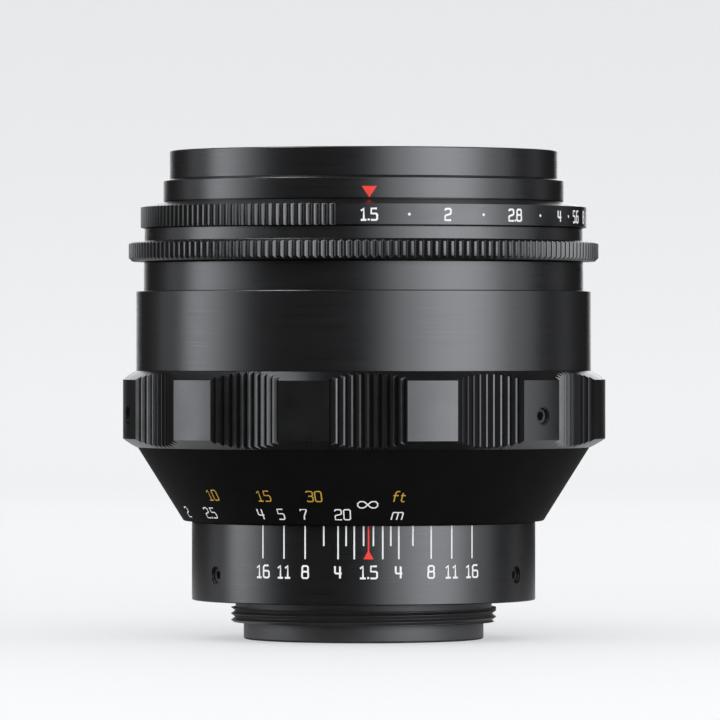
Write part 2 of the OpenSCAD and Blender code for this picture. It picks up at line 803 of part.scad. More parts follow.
// Outline of one cam slot, round at both ends, along the way that a drive pin takes in the ring
module cam_slot_outline() {
    half = pin_r + slot_gap;
    turn_back = 0.64;
    steps = 5;
    way = [for (i = [0:steps]) drive_pin_place(turn_back * (1 - sqrt(1 - i / steps)))];
    heading = [for (i = [0:steps])
        let (d = way[min(i + 1, steps)] - way[max(i - 1, 0)])
        atan2(d[1], d[0])];
    polygon(concat(
        [for (i = [0:steps]) way[i] + polar(half, heading[i] + 90)],
        [for (k = [1:7]) way[steps] + polar(half, heading[steps] + 90 - 22.5 * k)],
        [for (i = [steps:-1:0]) way[i] + polar(half, heading[i] - 90)],
        [for (k = [1:7]) way[0] + polar(half, heading[0] - 90 - 22.5 * k)]));
}

module iris_drive_ring() {
    r_web = r_open - drive_web;
    r_post = r_drive - fit_gap;
    r_post_in = r_post - arm_w;
    z_root = z_drive_top - drive_t / 2;
    color(brass) difference() {
        union() {
            turned([[r_web, z_drive], [r_drive, z_drive], [r_drive, z_drive_top], [r_web, z_drive_top]]);
            turned_part([[r_post_in, z_root], [r_post, z_root], [r_post, z_arm], [r_arm, z_arm],
                         [r_arm, z_arm_top], [r_arm_in, z_arm_top], [r_arm_in, z_arm + arm_t],
                         [r_post_in, z_arm + arm_t]], arm_at, arm_angle);
        }
        for (i = [1:blade_n])
            rotate([0, 0, blade_angle(i)])
                translate([0, 0, z_drive - over]) linear_extrude(drive_t + 2 * over) cam_slot_outline();
        radial(arm_at, z_drive_screw)
            translate([0, 0, r_arm_in - over])
                cylinder(h = r_arm - r_arm_in + 2 * over, r = drive_screw_r + fit_gap);
    }
}

module aperture_drive_screw() {
    inset = 0.1;
    color(steel)
        radial(arm_at, z_drive_screw)
            translate([0, 0, r_arm_in + inset])
                cylinder(h = r_ring_bore + drive_screw_in - r_arm_in, r = drive_screw_r);
}

// Tooth tips and roots of a straight knurl, one after the other
function knurl_r(r, i) = i % 2 == 0 ? r + fit_gap : r - knurl_depth;

module aperture_ring() {
    r = knurl_d / 2;
    r_neck = neck_d / 2;
    slope = 0.55;
    lap = 0.1;
    color(black) difference() {
        union() {
            intersection() {
                turned([[r_ring_bore, z_knurl], [r - slope, z_knurl], [r, z_knurl + slope],
                        [r, z_neck - slope / 2], [r - slope / 2, z_neck], [r_ring_bore, z_neck]]);
                translate([0, 0, z_knurl - over])
                    linear_extrude(knurl_h + 2 * over)
                        polygon([for (i = [0:2 * knurl_n - 1]) polar(knurl_r(r, i), i * 180 / knurl_n)]);
            }
            turned([[r_ring_bore, z_neck - lap], [r_neck, z_neck - lap], [r_neck, z_neck_top],
                    [r_ring_bore, z_neck_top]]);
        }
        radial(arm_at, z_drive_screw)
            translate([0, 0, r_ring_bore - over])
                cylinder(h = drive_screw_in + over + turn_gap, r = drive_screw_r + fit_gap);
    }
}

// Outline that cuts the knurled part of the preset ring and leaves the numbered sector plain
module preset_knurl_outline() {
    pitch = 360 / knurl_n;
    teeth = floor((360 + plain_from - plain_to) / pitch);
    start = index_at + plain_to;
    polygon(concat(
        [for (i = [0:2 * teeth]) polar(knurl_r(r_preset, i), start + i * pitch / 2)],
        arc(r_preset + 3 * over, start + teeth * pitch, start, 24)));
}

module preset_ring() {
    r_in = r_ring_bore + fit_gap;
    stop_margin = 3;
    stop_groove = 0.7;
    stop_half = stop_r + 2 * fit_gap;
    click_inset = 0.2;
    color(black) difference() {
        turned([[r_in, z_preset], [r_preset, z_preset], [r_preset, z_preset_edge],
                [r_index + fit_gap, z_preset_top], [r_in, z_preset_top]]);
        translate([0, 0, z_preset - over])
            linear_extrude(preset_h + preset_cone_h + 2 * over) preset_knurl_outline();
        turned([[r_in - over, z_ball - click_groove_h / 2], [r_click_groove, z_ball - click_groove_h / 2],
                [r_click_groove, z_ball + click_groove_h / 2], [r_in - over, z_ball + click_groove_h / 2]]);
        for (a = stop_marks)
            radial(click_at + a, z_ball) translate([0, 0, r_click_groove - click_inset]) sphere(r = click_r);
        sector(r_in - over, r_hub + stop_groove, z_stop - stop_half, z_stop + stop_half,
               stop_at + aperture_turn / 2, aperture_turn + stop_margin);
    }
}

module click_ball() {
    color(steel) radial(click_at, z_ball) translate([0, 0, r_ball]) sphere(r = ball_r);
}

module click_spring() {
    color(steel)
        sector(r_spring, r_spring + spring_t, z_ball - spring_h / 2, z_ball + spring_h / 2, click_at,
               spring_angle);
}

module preset_stop_screw() {
    color(steel)
        radial(stop_at, z_stop)
            translate([0, 0, r_hub - stop_screw_in]) cylinder(h = stop_screw_l, r = stop_r);
}

module index_ring() {
    step = 0.1;
    color(black)
        turned([[r_crown + fit_gap, z_index], [r_index, z_index], [r_index, z_index_edge],
                [filter_ring_d / 2 + step, z_filter], [r_crown + fit_gap, z_filter]]);
}

module filter_ring() {
    r = filter_ring_d / 2;
    z_step = z_filter + turn_gap;
    color(black) difference() {
        turned([[r_filter_skirt, z_cell_flange_top], [r_skirt, z_cell_flange_top], [r_skirt, z_filter],
                [r - edge, z_filter], [r, z_filter + edge], [r, z_front - edge], [r - edge, z_front],
                [r_filter_bore + edge, z_front], [r_filter_bore, z_front - edge], [r_filter_bore, z_step],
                [r_filter_skirt, z_step]]);
        thread_grooves(r_filter_bore, 0.5 * filter_pitch, filter_pitch, z_step + filter_pitch, z_front);
    }
}

module front_cell() {
    r_in = r_third_glass + fit_gap;
    r_tube = r_third_glass + seat_w;
    r_collar = r_name_ring - 2 * fit_gap;
    r_glass_in = r_second_glass + fit_gap;
    r_front_in = r_front_glass + fit_gap;
    z_tube_top = z_arm + arm_t + turn_gap;
    seat_slope = 1;
    color(dark)
        turned([[r_in, z_cell], [r_tube, z_cell], [r_tube, z_tube_top], [r_cell, z_tube_top + 2 * turn_gap],
                [r_cell, z_cell_flange], [r_skirt, z_cell_flange], [r_skirt, z_cell_flange_top],
                [r_collar, z_cell_flange_top], [r_collar, z_cell_front], [r_front_in, z_cell_front],
                [r_front_in, z_front_seat], [r_front_glass - seat_w + turn_gap, z_front_seat],
                [r_glass_in, z_front_seat - seat_slope], [r_glass_in, z_second_seat], [r_in, z_second_seat]]);
}

module front_element() {
    color(glass) element(r_front_glass, z_front_seat, v_1 + over, v_1, surface_1, v_2, surface_2);
}

module second_element() {
    color(glass)
        element(r_second_glass, z_second_seat, v_3 + over, v_3, surface_3, v_4 + cement_gap, surface_4);
}

module third_element() {
    color(glass) element(r_third_glass, z_third_rim, v_4 + over, v_4, surface_4, v_5, surface_5);
}

module fourth_element() {
    color(glass)
        element(r_rear_doublet, v_7 - 4 * over, z_fourth_rim, v_6, surface_6, v_7 + cement_gap, surface_7);
}

module fifth_element() {
    color(glass) element(r_rear_doublet, v_8 - over, v_7 + over, v_7, surface_7, v_8, surface_8);
}

module rear_element() {
    color(glass) element(r_rear_glass, v_10 - over, z_rib, v_9, surface_9, v_10, surface_10);
}

module front_doublet_ring() {
    r_in = r_second_glass - glass_lap;
    z = surface_z(v_3, surface_3, r_in) + glass_touch;
    ring_h = 2.2;
    color(dark)
        turned([[r_in, z], [r_second_glass, z], [r_second_glass, z + ring_h], [r_in + edge, z + ring_h]]);
}

module name_ring() {
    r_in = r_front_glass - glass_lap;
    z = surface_z(v_1, surface_1, r_in) + glass_touch;
    z_lip_edge = z_cell_front + name_ring_lip;
    color(black)
        turned([[r_in, z], [r_front_glass, z], [r_front_glass, z_cell_front], [r_name_ring, z_cell_front],
                [r_name_ring, z_lip_edge], [r_name_ring - edge, z_lip_edge], [r_in, z_cell_front + edge]]);
}

module rear_cell() {
    r_glass_in = r_rear_glass + fit_gap;
    r_doublet_in = r_rear_doublet + fit_gap;
    z_flange_low = z_floor - cell_flange_t;
    color(dark) difference() {
        turned([[r_glass_in, z_rear_cell], [r_rear_cell, z_rear_cell], [r_rear_cell, z_flange_low],
                [r_cell_flange, z_flange_low], [r_cell_flange, z_floor], [r_doublet_in, z_floor],
                [r_doublet_in, z_rib_top], [r_rib, z_rib_top], [r_rib, z_rib], [r_glass_in, z_rib]]);
        cell_screw_places()
            translate([0, 0, z_flange_low - over])
                cylinder(h = cell_flange_t + 2 * over, r = cell_screw_r + fit_gap);
    }
}

module rear_cell_screws() {
    slot_depth = 0.4;
    z_head = z_floor - cell_flange_t - cell_screw_head_h;
    color(steel) cell_screw_places() difference() {
        union() {
            translate([0, 0, z_head]) cylinder(h = cell_screw_head_h, r = cell_screw_head_r);
            translate([0, 0, z_head]) cylinder(h = z_floor_top - fit_gap - z_head, r = cell_screw_r);
        }
        translate([-2 * cell_screw_head_r, -screw_slot_w / 2, z_head - over])
            cube([4 * cell_screw_head_r, screw_slot_w, slot_depth + over]);
    }
}

module rear_doublet_ring() {
    r_in = r_fourth_clear + 2 * fit_gap;
    z_top = z_floor - 2 * fit_gap;
    color(dark)
        turned([[r_in, z_fourth_rim], [r_rear_doublet, z_fourth_rim], [r_rear_doublet, z_top],
                [r_in, z_top]]);
}

module rear_retaining_ring() {
    r_in = r_rear_glass - glass_lap;
    z = surface_z(v_10, surface_10, r_in) - glass_touch;
    z_low = z_rear_cell + 2 * fit_gap;
    color(dark) turned([[r_in, z], [r_rear_glass, z], [r_rear_glass, z_low], [r_in, z_low]]);
}

mount_ring();
depth_scale_ring();
mount_set_screws();
base_tube();
guide_keys();
guide_key_screws();
distance_scale_ring();
helicoid_nut();
focus_sleeve();
focus_grip();
grip_set_screws();
focus_stop_pin();
main_barrel();
inner_helicoid();
iris_housing();
front_cell();
front_element();
second_element();
third_element();
front_doublet_ring();
name_ring();
filter_ring();
index_ring();
rear_cell();
rear_cell_screws();
fourth_element();
fifth_element();
rear_doublet_ring();
rear_element();
rear_retaining_ring();
click_ball();
click_spring();
preset_stop_screw();
preset_ring();
aperture_ring();
iris_drive_ring();
aperture_drive_screw();
for (i = [1:blade_n])
    iris_blade(i);
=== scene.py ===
"""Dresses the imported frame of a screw-mount prime lens: turned rings, scales, glass and a studio."""

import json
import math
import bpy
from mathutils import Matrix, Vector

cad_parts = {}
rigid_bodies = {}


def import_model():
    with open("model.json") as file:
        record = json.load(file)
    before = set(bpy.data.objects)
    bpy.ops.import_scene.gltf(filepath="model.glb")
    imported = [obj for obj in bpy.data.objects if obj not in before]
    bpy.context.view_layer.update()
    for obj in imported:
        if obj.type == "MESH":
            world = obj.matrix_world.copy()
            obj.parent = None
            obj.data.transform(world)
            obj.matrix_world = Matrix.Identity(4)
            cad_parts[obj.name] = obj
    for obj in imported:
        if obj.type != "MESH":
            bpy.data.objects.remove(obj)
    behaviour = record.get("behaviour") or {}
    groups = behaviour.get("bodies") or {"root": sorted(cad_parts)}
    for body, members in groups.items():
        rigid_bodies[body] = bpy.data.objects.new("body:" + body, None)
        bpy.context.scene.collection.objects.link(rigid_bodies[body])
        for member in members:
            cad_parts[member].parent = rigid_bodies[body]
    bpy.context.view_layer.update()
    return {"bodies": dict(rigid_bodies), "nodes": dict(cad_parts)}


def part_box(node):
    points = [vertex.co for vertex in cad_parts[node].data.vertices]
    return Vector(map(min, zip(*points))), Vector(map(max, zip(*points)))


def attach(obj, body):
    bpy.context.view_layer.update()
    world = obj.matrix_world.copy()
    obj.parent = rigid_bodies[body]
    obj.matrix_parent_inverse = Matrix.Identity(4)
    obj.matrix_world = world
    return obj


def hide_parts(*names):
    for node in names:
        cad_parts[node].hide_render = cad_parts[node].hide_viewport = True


bl_info = {
    "name": "Prime Lens",
    "version": (1, 0, 0),
    "blender": (4, 5, 0),
    "location": "View3D > Sidebar > Lens",
    "description": "Models the rings, scales and glass of a prime lens around its CAD frame",
    "category": "Object",
}

import bmesh
import bpy
from bpy.props import FloatProperty, FloatVectorProperty, IntProperty, PointerProperty
from mathutils import Vector

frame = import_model()
MM = 0.001
NEAR = 2e-6
INDEX_AT = 270


def low_of(node):
    """Height of a CAD node's lower end, in millimetres."""
    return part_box(node)[0].z / MM


def top_of(node):
    """Height of a CAD node's upper end, in millimetres."""
    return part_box(node)[1].z / MM


# Heights and radii of the rings, in millimetres; three seams lie a little off the solids, where the photo has them

SEAM_RISE = 0.4
GRIP_RISE = 0.25
LIP_HANG = 0.2
Z_SEAT = low_of("depth_scale_ring")
Z_DEPTH_TOP = top_of("depth_scale_ring") + SEAM_RISE
Z_CONE = low_of("distance_scale_ring") + SEAM_RISE
Z_GRIP = low_of("focus_grip")
Z_GRIP_TOP = top_of("focus_grip") + GRIP_RISE
Z_SLEEVE_TOP = top_of("focus_sleeve")
Z_KNURL = low_of("aperture_ring")
Z_NECK_TOP = top_of("aperture_ring")
Z_PRESET = low_of("preset_ring")
Z_PRESET_TOP = top_of("preset_ring")
Z_INDEX = low_of("index_ring")
Z_FILTER = top_of("index_ring")
Z_FRONT = top_of("filter_ring")
R_DEPTH = 27.2
R_CONE = 28.5
R_CONE_TOP = 35.8
R_GRIP = 38.5
R_GRIP_IN = 34.25
R_SLEEVE = 36
R_KNURL = 37.2
R_NECK = 34.7
R_RING_BORE = 31.05
R_PRESET = 35.3
R_INDEX = 31.7
R_FILTER = 30.7


# Modelling steps that the pieces share

def enter_edit():
    """Goes to edit mode."""
    bpy.ops.object.mode_set(mode="EDIT")


def enter_object():
    """Goes to object mode."""
    bpy.ops.object.mode_set(mode="OBJECT")


def select_all():
    """Selects everything in edit mode."""
    bpy.ops.mesh.select_all(action="SELECT")


def merge_doubles():
    """Joins doubled points in edit mode."""
    select_all()
    bpy.ops.mesh.remove_doubles(threshold=NEAR)


def leave_edit():
    """Goes back to object mode with nothing selected."""
    active = bpy.context.view_layer.objects.active
    if active is not None and active.mode != "OBJECT":
        enter_object()
    bpy.ops.object.select_all(action="DESELECT")


def make_active(piece):
    """Selects one piece alone."""
    leave_edit()
    piece.select_set(True)
    bpy.context.view_layer.objects.active = piece


def rename(piece, name):
    """Names a piece and its mesh."""
    piece.name = name
    piece.data.name = name


def new_plane(name, size):
    """A new square plane, selected in edit mode."""
    leave_edit()
    bpy.ops.mesh.primitive_plane_add(size=size)
    piece = bpy.context.object
    rename(piece, name)
    enter_edit()
    bpy.ops.mesh.select_mode(type="VERT")
    select_all()
    return piece


def start_line(name, place):
    """A new mesh of one point, in edit mode."""
    piece = new_plane(name, MM)
    bpy.ops.mesh.merge(type="CENTER")
    bpy.ops.transform.translate(value=place)
    return piece


def step_between(here, there):
    """The way from one point to another."""
    return [there[i] - here[i] for i in range(3)]


def draw_line(points):
    """Extrudes the selected point along the rest of a line."""
    for here, there in zip(points, points[1:]):
        bpy.ops.mesh.extrude_vertices_move(TRANSFORM_OT_translate={"value": step_between(here, there)})


def draw_outline(name, points):
    """A new mesh of one line, in edit mode."""
    piece = start_line(name, points[0])
    draw_line(points)
    return piece


def draw_face(name, points):
    """A new mesh of one flat face, in edit mode."""
    piece = draw_outline(name, points)
    select_all()
    bpy.ops.mesh.edge_face_add()
    return piece


def select_points(piece, test):
    """Selects, in edit mode, the shown points that pass a test."""
    mesh = bmesh.from_edit_mesh(piece.data)
    for point in mesh.verts:
        point.select = not point.hide and test(point)
    mesh.select_flush_mode()
    bmesh.update_edit_mesh(piece.data)


def close_mesh():
    """Joins doubled points, turns the faces outwards and leaves edit mode."""
    merge_doubles()
    bpy.ops.mesh.normals_make_consistent(inside=False)
    enter_object()


def spin(steps, degrees, way=-1, dupli=False):
    """Spins the selection around the axis, anticlockwise where the way is -1."""
    bpy.ops.mesh.spin(steps=steps, dupli=dupli, angle=math.radians(degrees), center=(0, 0, 0), axis=(0, 0, way))


def spin_round(steps):
    """Spins everything in edit mode once around the axis."""
    select_all()
    spin(steps, 360, 1)
    close_mesh()


def turned_ring(name, section):
    """Spins a half section of (radius, height[, softness]) points, in millimetres, with its corners eased."""
    sizes = bpy.context.scene.lens_sizes
    points = [(p[0] * MM, 0, p[1] * MM) for p in section]
    widths = [p[2] if len(p) > 2 else sizes.edge_soft / MM for p in section]
    piece = draw_face(name, points)
    for width in sorted(set(widths)):
        if width > 0:
            corners = [Vector(p) for p, w in zip(points, widths) if w == width]
            select_points(piece, lambda point: any((point.co - c).length < NEAR for c in corners))
            bpy.ops.mesh.bevel(offset=width * MM, segments=3, affect="VERTICES")
    select_all()
    bpy.ops.mesh.delete(type="ONLY_FACE")
    spin_round(sizes.turn_steps)
    return piece


def turned_glass(name, section):
    """Spins an open half section that starts and ends on the axis."""
    piece = draw_outline(name, [(r * MM, 0, z * MM) for r, z in section])
    spin_round(bpy.context.scene.lens_sizes.glass_steps)
    return piece


def apply_modifier(piece, kind, **settings):
    """Adds a modifier with its settings and applies it."""
    make_active(piece)
    bpy.ops.object.modifier_add(type=kind)
    modifier = piece.modifiers[-1]
    for key, value in settings.items():
        setattr(modifier, key, value)
    bpy.ops.object.modifier_apply(modifier=modifier.name)


def cut(piece, tool):
    """Cuts a piece with a tool and throws the tool away."""
    apply_modifier(piece, "BOOLEAN", operation="DIFFERENCE", solver="EXACT", object=tool)
    bpy.data.objects.remove(tool)


def ease_edges(piece, width, angle=35):
    """Bevels every edge that is sharper than an angle; the width is in millimetres."""
    apply_modifier(piece, "BEVEL", width=width * MM, segments=2, limit_method="ANGLE",
                   angle_limit=math.radians(angle), use_clamp_overlap=True)


def dress(piece, body, look, *nodes, slot="black_anodised", angle=32):
    """Smooths a piece up to an angle, gives it its material and body, and hides the nodes it stands for; the slot is
    not used.
    """
    make_active(piece)
    bpy.ops.object.shade_smooth_by_angle(angle=math.radians(angle))
    apply_modifier(piece, "WEIGHTED_NORMAL", keep_sharp=True)
    piece.data.materials.clear()
    piece.data.materials.append(finish(look))
    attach(piece, body)
    if nodes:
        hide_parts(*nodes)


def radial_rod(name, radius, r_from, r_to, angle, z, sides=40):
    """A straight rod along the radius at an angle, in millimetres and degrees."""
    leave_edit()
    turn = math.radians(angle)
    middle = (r_from + r_to) / 2 * MM
    bpy.ops.mesh.primitive_cylinder_add(
        vertices=sides, radius=radius * MM, depth=(r_to - r_from) * MM,
        location=(middle * math.cos(turn), middle * math.sin(turn), z * MM),
        rotation=(0, math.pi / 2, turn))
    rod = bpy.context.object
    rename(rod, name)
    bpy.ops.object.transform_apply(location=True, rotation=True, scale=True)
    return rod


def join_pieces(name, pieces):
    """Joins pieces into the first one."""
    leave_edit()
    for piece in pieces:
        piece.select_set(True)
    bpy.context.view_layer.objects.active = pieces[0]
    bpy.ops.object.join()
    rename(pieces[0], name)
    return pieces[0]


def drill_holes(ring, radius, wider, mouth, r_in, r_out, angles, z):
    """Bores a ring along the radius at some angles, with a shallow, wider mouth."""
    past = 1
    for angle in angles:
        cut(ring, radial_rod("drill", radius, r_in - past, r_out + past, angle, z))
        cut(ring, radial_rod("mouth_drill", radius + wider, r_out - mouth, r_out + past, angle, z))


def socket_screws(name, radius, r_from, r_to, angles, z, body, node):
    """Grub screws with hexagon sockets, set along the radius at some angles."""
    socket_r, socket_depth, past, ease = 0.58 * radius, 1.1 * radius, 1, 0.09
    screws = []
    for angle in angles:
        screw = radial_rod(name, radius, r_from, r_to, angle, z)
        cut(screw, radial_rod("hex_key", socket_r, r_to - socket_depth, r_to + past, angle, z, 6))
        ease_edges(screw, ease)
        screws.append(screw)
    dress(join_pieces(name, screws), body, "screw_black", node, slot="screw_black")


def polar(r, angle):
    """A point of the plane at a radius in millimetres and an angle in degrees, in metres."""
    return (r * MM * math.cos(math.radians(angle)), r * MM * math.sin(math.radians(angle)), 0.0)


def arc_block(name, r_in, r_out, z_low, z_high, middle, width):
    """A block bent around the axis, for cutting; in millimetres and degrees."""
    start, step = middle - width / 2, 1.5
    corners = [(r_in, z_low), (r_out, z_low), (r_out, z_high), (r_in, z_high)]
    piece = draw_face(name, [(*polar(r, start)[:2], z * MM) for r, z in corners])
    spin(math.ceil(width / step), width)
    close_mesh()
    return piece


def repeat_round(copies, angle):
    """Repeats the line drawn in edit mode around the axis."""
    select_all()
    spin(copies, angle, dupli=True)
    merge_doubles()


def raise_outline(piece, rounds):
    """Extrudes a ring's outline through rounds: each a (radius, height), or a rule for it from outline radius."""
    mesh = bmesh.from_edit_mesh(piece.data)
    layer = mesh.verts.layers.float.new("outline")
    for point in mesh.verts:
        point[layer] = round(point.co.xy.length / NEAR)
    steps = sorted({point[layer] for point in mesh.verts})
    bmesh.update_edit_mesh(piece.data)
    places = {step: (step * NEAR, 0.0) for step in steps}
    select_all()
    for number, rule in enumerate(rounds):
        if number:
            bpy.ops.mesh.extrude_edges_move()
            bpy.ops.mesh.hide(unselected=True)
        for step in steps:
            r_now, z_now = places[step]
            r_new, z_new = [value * MM for value in (rule(step * NEAR / MM) if callable(rule) else rule)]
            layer = bmesh.from_edit_mesh(piece.data).verts.layers.float["outline"]
            select_points(piece, lambda point: point[layer] == step)
            bpy.ops.transform.resize(value=(r_new / r_now, r_new / r_now, 1), center_override=(0, 0, 0))
            bpy.ops.transform.translate(value=(0, 0, z_new - z_now))
            places[step] = (r_new, z_new)
        select_all()
        bpy.ops.mesh.reveal(select=False)
    close_mesh()
    piece.data.attributes.remove(piece.data.attributes["outline"])


def thread_tool(name, r_crest, depth, mouth, clear, pitch, z_from, z_to, side=1):
    """A closed helical tool that cuts a thread; the side is 1 for an outer thread and -1 for an inner one."""
    root_half, steps = 0.03, 120
    mouth_half = mouth * (1 + clear / depth)
    r_root, r_clear = r_crest - side * depth, r_crest + side * clear
    section = [(r_root, -root_half), (r_clear, -mouth_half), (r_clear, mouth_half), (r_root, root_half)]
    points = [(r * MM, 0, (z_from + z) * MM) for r, z in section]
    piece = draw_outline(name, points + points[:1])
    close_mesh()
    turns = math.ceil((z_to - z_from) / pitch)
    apply_modifier(piece, "SCREW", axis="Z", angle=math.tau, screw_offset=pitch * MM, iterations=turns,
                   steps=steps, render_steps=steps, use_merge_vertices=False, use_normal_calculate=True)
    make_active(piece)
    enter_edit()
    select_all()
    bpy.ops.mesh.fill_holes(sides=0)
    close_mesh()
    return piece


def smooth_copy(node, name):
    """A copy of a CAD node with its triangles merged."""
    make_active(frame["nodes"][node])
    bpy.ops.object.duplicate(linked=False)
    piece = bpy.context.object
    rename(piece, name)
    bpy.ops.object.parent_clear(type="CLEAR")
    for key in list(piece.keys()):
        del piece[key]
    enter_edit()
    merge_doubles()
    enter_object()
    return piece


# Strokes of the numerals, each within a height of 1

GLYPHS = {
    "0": (0.54, (((0.1, 0), (0.44, 0), (0.54, 0.1), (0.54, 0.9), (0.44, 1), (0.1, 1), (0, 0.9), (0, 0.1), (0.1, 0),
                  (0.2, 0)),)),
    "1": (0.48, (((0.02, 0.8), (0.25, 1), (0.25, 0)), ((0, 0), (0.48, 0)))),
    "2": (0.54, (((0, 0.84), (0.02, 0.92), (0.1, 1), (0.44, 1), (0.54, 0.9), (0.54, 0.62), (0.46, 0.53),
                  (0.08, 0.43), (0, 0.34), (0, 0), (0.56, 0)),)),
    "3": (0.54, (((0, 0.9), (0.08, 1), (0.44, 1), (0.54, 0.9), (0.54, 0.63), (0.44, 0.53), (0.54, 0.43),
                  (0.54, 0.1), (0.44, 0), (0.08, 0), (0, 0.1)), ((0.44, 0.53), (0.16, 0.53)))),
    "4": (0.56, (((0.02, 1), (0.02, 0.48), (0.1, 0.4), (0.58, 0.4)), ((0.44, 0.98), (0.44, 0)))),
    "5": (0.54, (((0.52, 1), (0.03, 1), (0.02, 0.56), (0.44, 0.56), (0.54, 0.46), (0.54, 0.1), (0.44, 0),
                  (0, 0)),)),
    "6": (0.54, (((0.5, 1), (0.12, 1), (0, 0.88), (0, 0.1), (0.1, 0), (0.44, 0), (0.54, 0.1), (0.54, 0.46),
                  (0.44, 0.56), (0, 0.56)),)),
    "7": (0.52, (((0, 0.86), (0, 1), (0.52, 1), (0.5, 0.86), (0.26, 0.34), (0.22, 0)),)),
    "8": (0.54, (((0.08, 0.53), (0, 0.45), (0, 0.1), (0.1, 0), (0.44, 0), (0.54, 0.1), (0.54, 0.45),
                  (0.46, 0.53), (0.07, 0.53)),
                 ((0.08, 0.53), (0.02, 0.61), (0.02, 0.9), (0.12, 1), (0.42, 1), (0.52, 0.9), (0.52, 0.61),
                  (0.46, 0.53)))),
    "9": (0.54, (((0.04, 0), (0.42, 0), (0.54, 0.12), (0.54, 0.9), (0.44, 1), (0.1, 1), (0, 0.9), (0, 0.54),
                  (0.1, 0.44), (0.54, 0.44)),)),
    ".": (0, (((0, -0.05), (0, 0.12)),)),
    "dot": (0.2, (((0.04, 0.5), (0.1, 0.56), (0.16, 0.5), (0.1, 0.44), (0.04, 0.5), (0.07, 0.53)),)),
    "inf": (2.64, (((1.32, 0.5), (1.7, 0.9), (1.9, 1), (2.34, 1), (2.64, 0.72), (2.64, 0.28), (2.34, 0),
                    (1.9, 0), (1.7, 0.1), (1.32, 0.5)),
                   ((1.32, 0.5), (0.94, 0.9), (0.74, 1), (0.3, 1), (0, 0.72), (0, 0.28), (0.3, 0),
                    (0.74, 0), (0.94, 0.1), (1.32, 0.5)))),
    "m": (0.98, (((0, 0), (0.1, 0.66), (0.16, 0.72), (0.9, 0.72), (0.97, 0.64), (0.88, 0)),
                 ((0.56, 0.72), (0.46, 0)))),
    "f": (0.42, (((0.02, 0), (0.13, 0.86), (0.24, 1), (0.46, 1)), ((-0.06, 0.6), (0.38, 0.6)))),
    "t": (0.3, (((0.13, 0.86), (0.03, 0.12), (0.1, 0), (0.3, 0)), ((-0.04, 0.6), (0.34, 0.6)))),
}
GLYPH_GAP = 0.2


def glyph_width(text):
    """Width of a line of glyphs of height 1."""
    return sum(GLYPHS[g][0] for g in text) + GLYPH_GAP * (len(text) - 1)


def label_strokes(text, middle, base, height):
    """Strokes of a numeral row around a middle, as (across, up) points in millimetres."""
    across = middle - height * glyph_width(text) / 2
    strokes = []
    for glyph in text:
        width, lines = GLYPHS[glyph]
        strokes += [[(across + height * u, base + height * v) for u, v in line] for line in lines]
        across += height * (width + GLYPH_GAP)
    return strokes


def draw_strokes(name, strokes, width, thickness):
    """Draws strokes in the XZ plane and gives them a flat, rounded section; all in millimetres."""
    lines = [[(u * MM, 0, v * MM) for u, v in stroke] for stroke in strokes]
    start_line(name, lines[0][0])
    end = None
    for line in lines:
        if end is not None:
            bpy.ops.mesh.duplicate_move(TRANSFORM_OT_translate={"value": step_between(end, line[0])})
        draw_line(line)
        end = line[-1]
    enter_object()
    bpy.ops.object.convert(target="CURVE")
    curve = bpy.context.object.data
    curve.bevel_depth = width / 2 * MM
    curve.bevel_resolution = 2
    curve.use_fill_caps = True
    bpy.ops.object.convert(target="MESH")
    piece = bpy.context.object
    rename(piece, name)
    enter_edit()
    select_all()
    bpy.ops.transform.resize(value=(1, thickness / width, 1), center_override=(0, 0, 0))
    close_mesh()
    return piece


def draw_plate(name, corners, thickness):
    """A thin plate in the XZ plane from its corners, finely divided so that it can be bent."""
    cuts = 6
    piece = draw_face(name, [(u * MM, -thickness / 2 * MM, v * MM) for u, v in corners])
    bpy.ops.mesh.extrude_region_move(TRANSFORM_OT_translate={"value": (0, thickness * MM, 0)})
    select_all()
    bpy.ops.mesh.subdivide(number_cuts=cuts)
    close_mesh()
    return piece


def lay_mark(piece, radius, body, look, lean=0, hinge=0):
    """Leans a flat piece about a height, bends it around the axis to face the index, and paints it."""
    make_active(piece)
    if lean:
        enter_edit()
        select_all()
        bpy.ops.transform.rotate(value=-math.radians(lean), orient_axis="X", center_override=(0, 0, hinge * MM))
        enter_object()
    across = [point.co.x for point in piece.data.vertices]
    apply_modifier(piece, "SIMPLE_DEFORM", deform_method="BEND", deform_axis="Z",
                   angle=(max(across) - min(across)) / (radius * MM))
    enter_edit()
    select_all()
    bpy.ops.transform.translate(value=(0, -radius * MM, 0))
    close_mesh()
    dress(piece, body, look, angle=50)


# Materials

def feed(tree, node, sockets):
    """Sets or links inputs of a node."""
    for socket, source in sockets.items():
        if isinstance(source, bpy.types.NodeSocket):
            tree.links.new(source, node.inputs[socket])
        else:
            node.inputs[socket].default_value = source


def node_maker(tree):
    """Empties a node tree and gives a function that adds a node with its inputs and settings."""
    tree.nodes.clear()

    def add(kind, sockets=None, **settings):
        node = tree.nodes.new(kind)
        for key, value in settings.items():
            setattr(node, key, value)
        feed(tree, node, sockets or {})
        return node

    return add


def start_material(name):
    """A material, a function that adds nodes to it and one that feeds its shader."""
    material = bpy.data.materials.new(name)
    material.use_nodes = True
    tree = material.node_tree
    add = node_maker(tree)
    shader = add("ShaderNodeBsdfPrincipled")
    add("ShaderNodeOutputMaterial", {0: shader.outputs[0]})
    return material, add, lambda sockets: feed(tree, shader, sockets)


def object_place(add):
    """Coordinates of the object."""
    return add("ShaderNodeTexCoord").outputs["Object"]


def reckon(add, operation, *values):
    """Result of a sum with values of a node tree."""
    return add("ShaderNodeMath", dict(enumerate(values)), operation=operation).outputs[0]


def noise(add, place, scale, detail, rough=0.5):
    """A noise value over a place."""
    return add("ShaderNodeTexNoise", {"Vector": place, "Scale": scale, "Detail": detail,
                                      "Roughness": rough}).outputs[0]


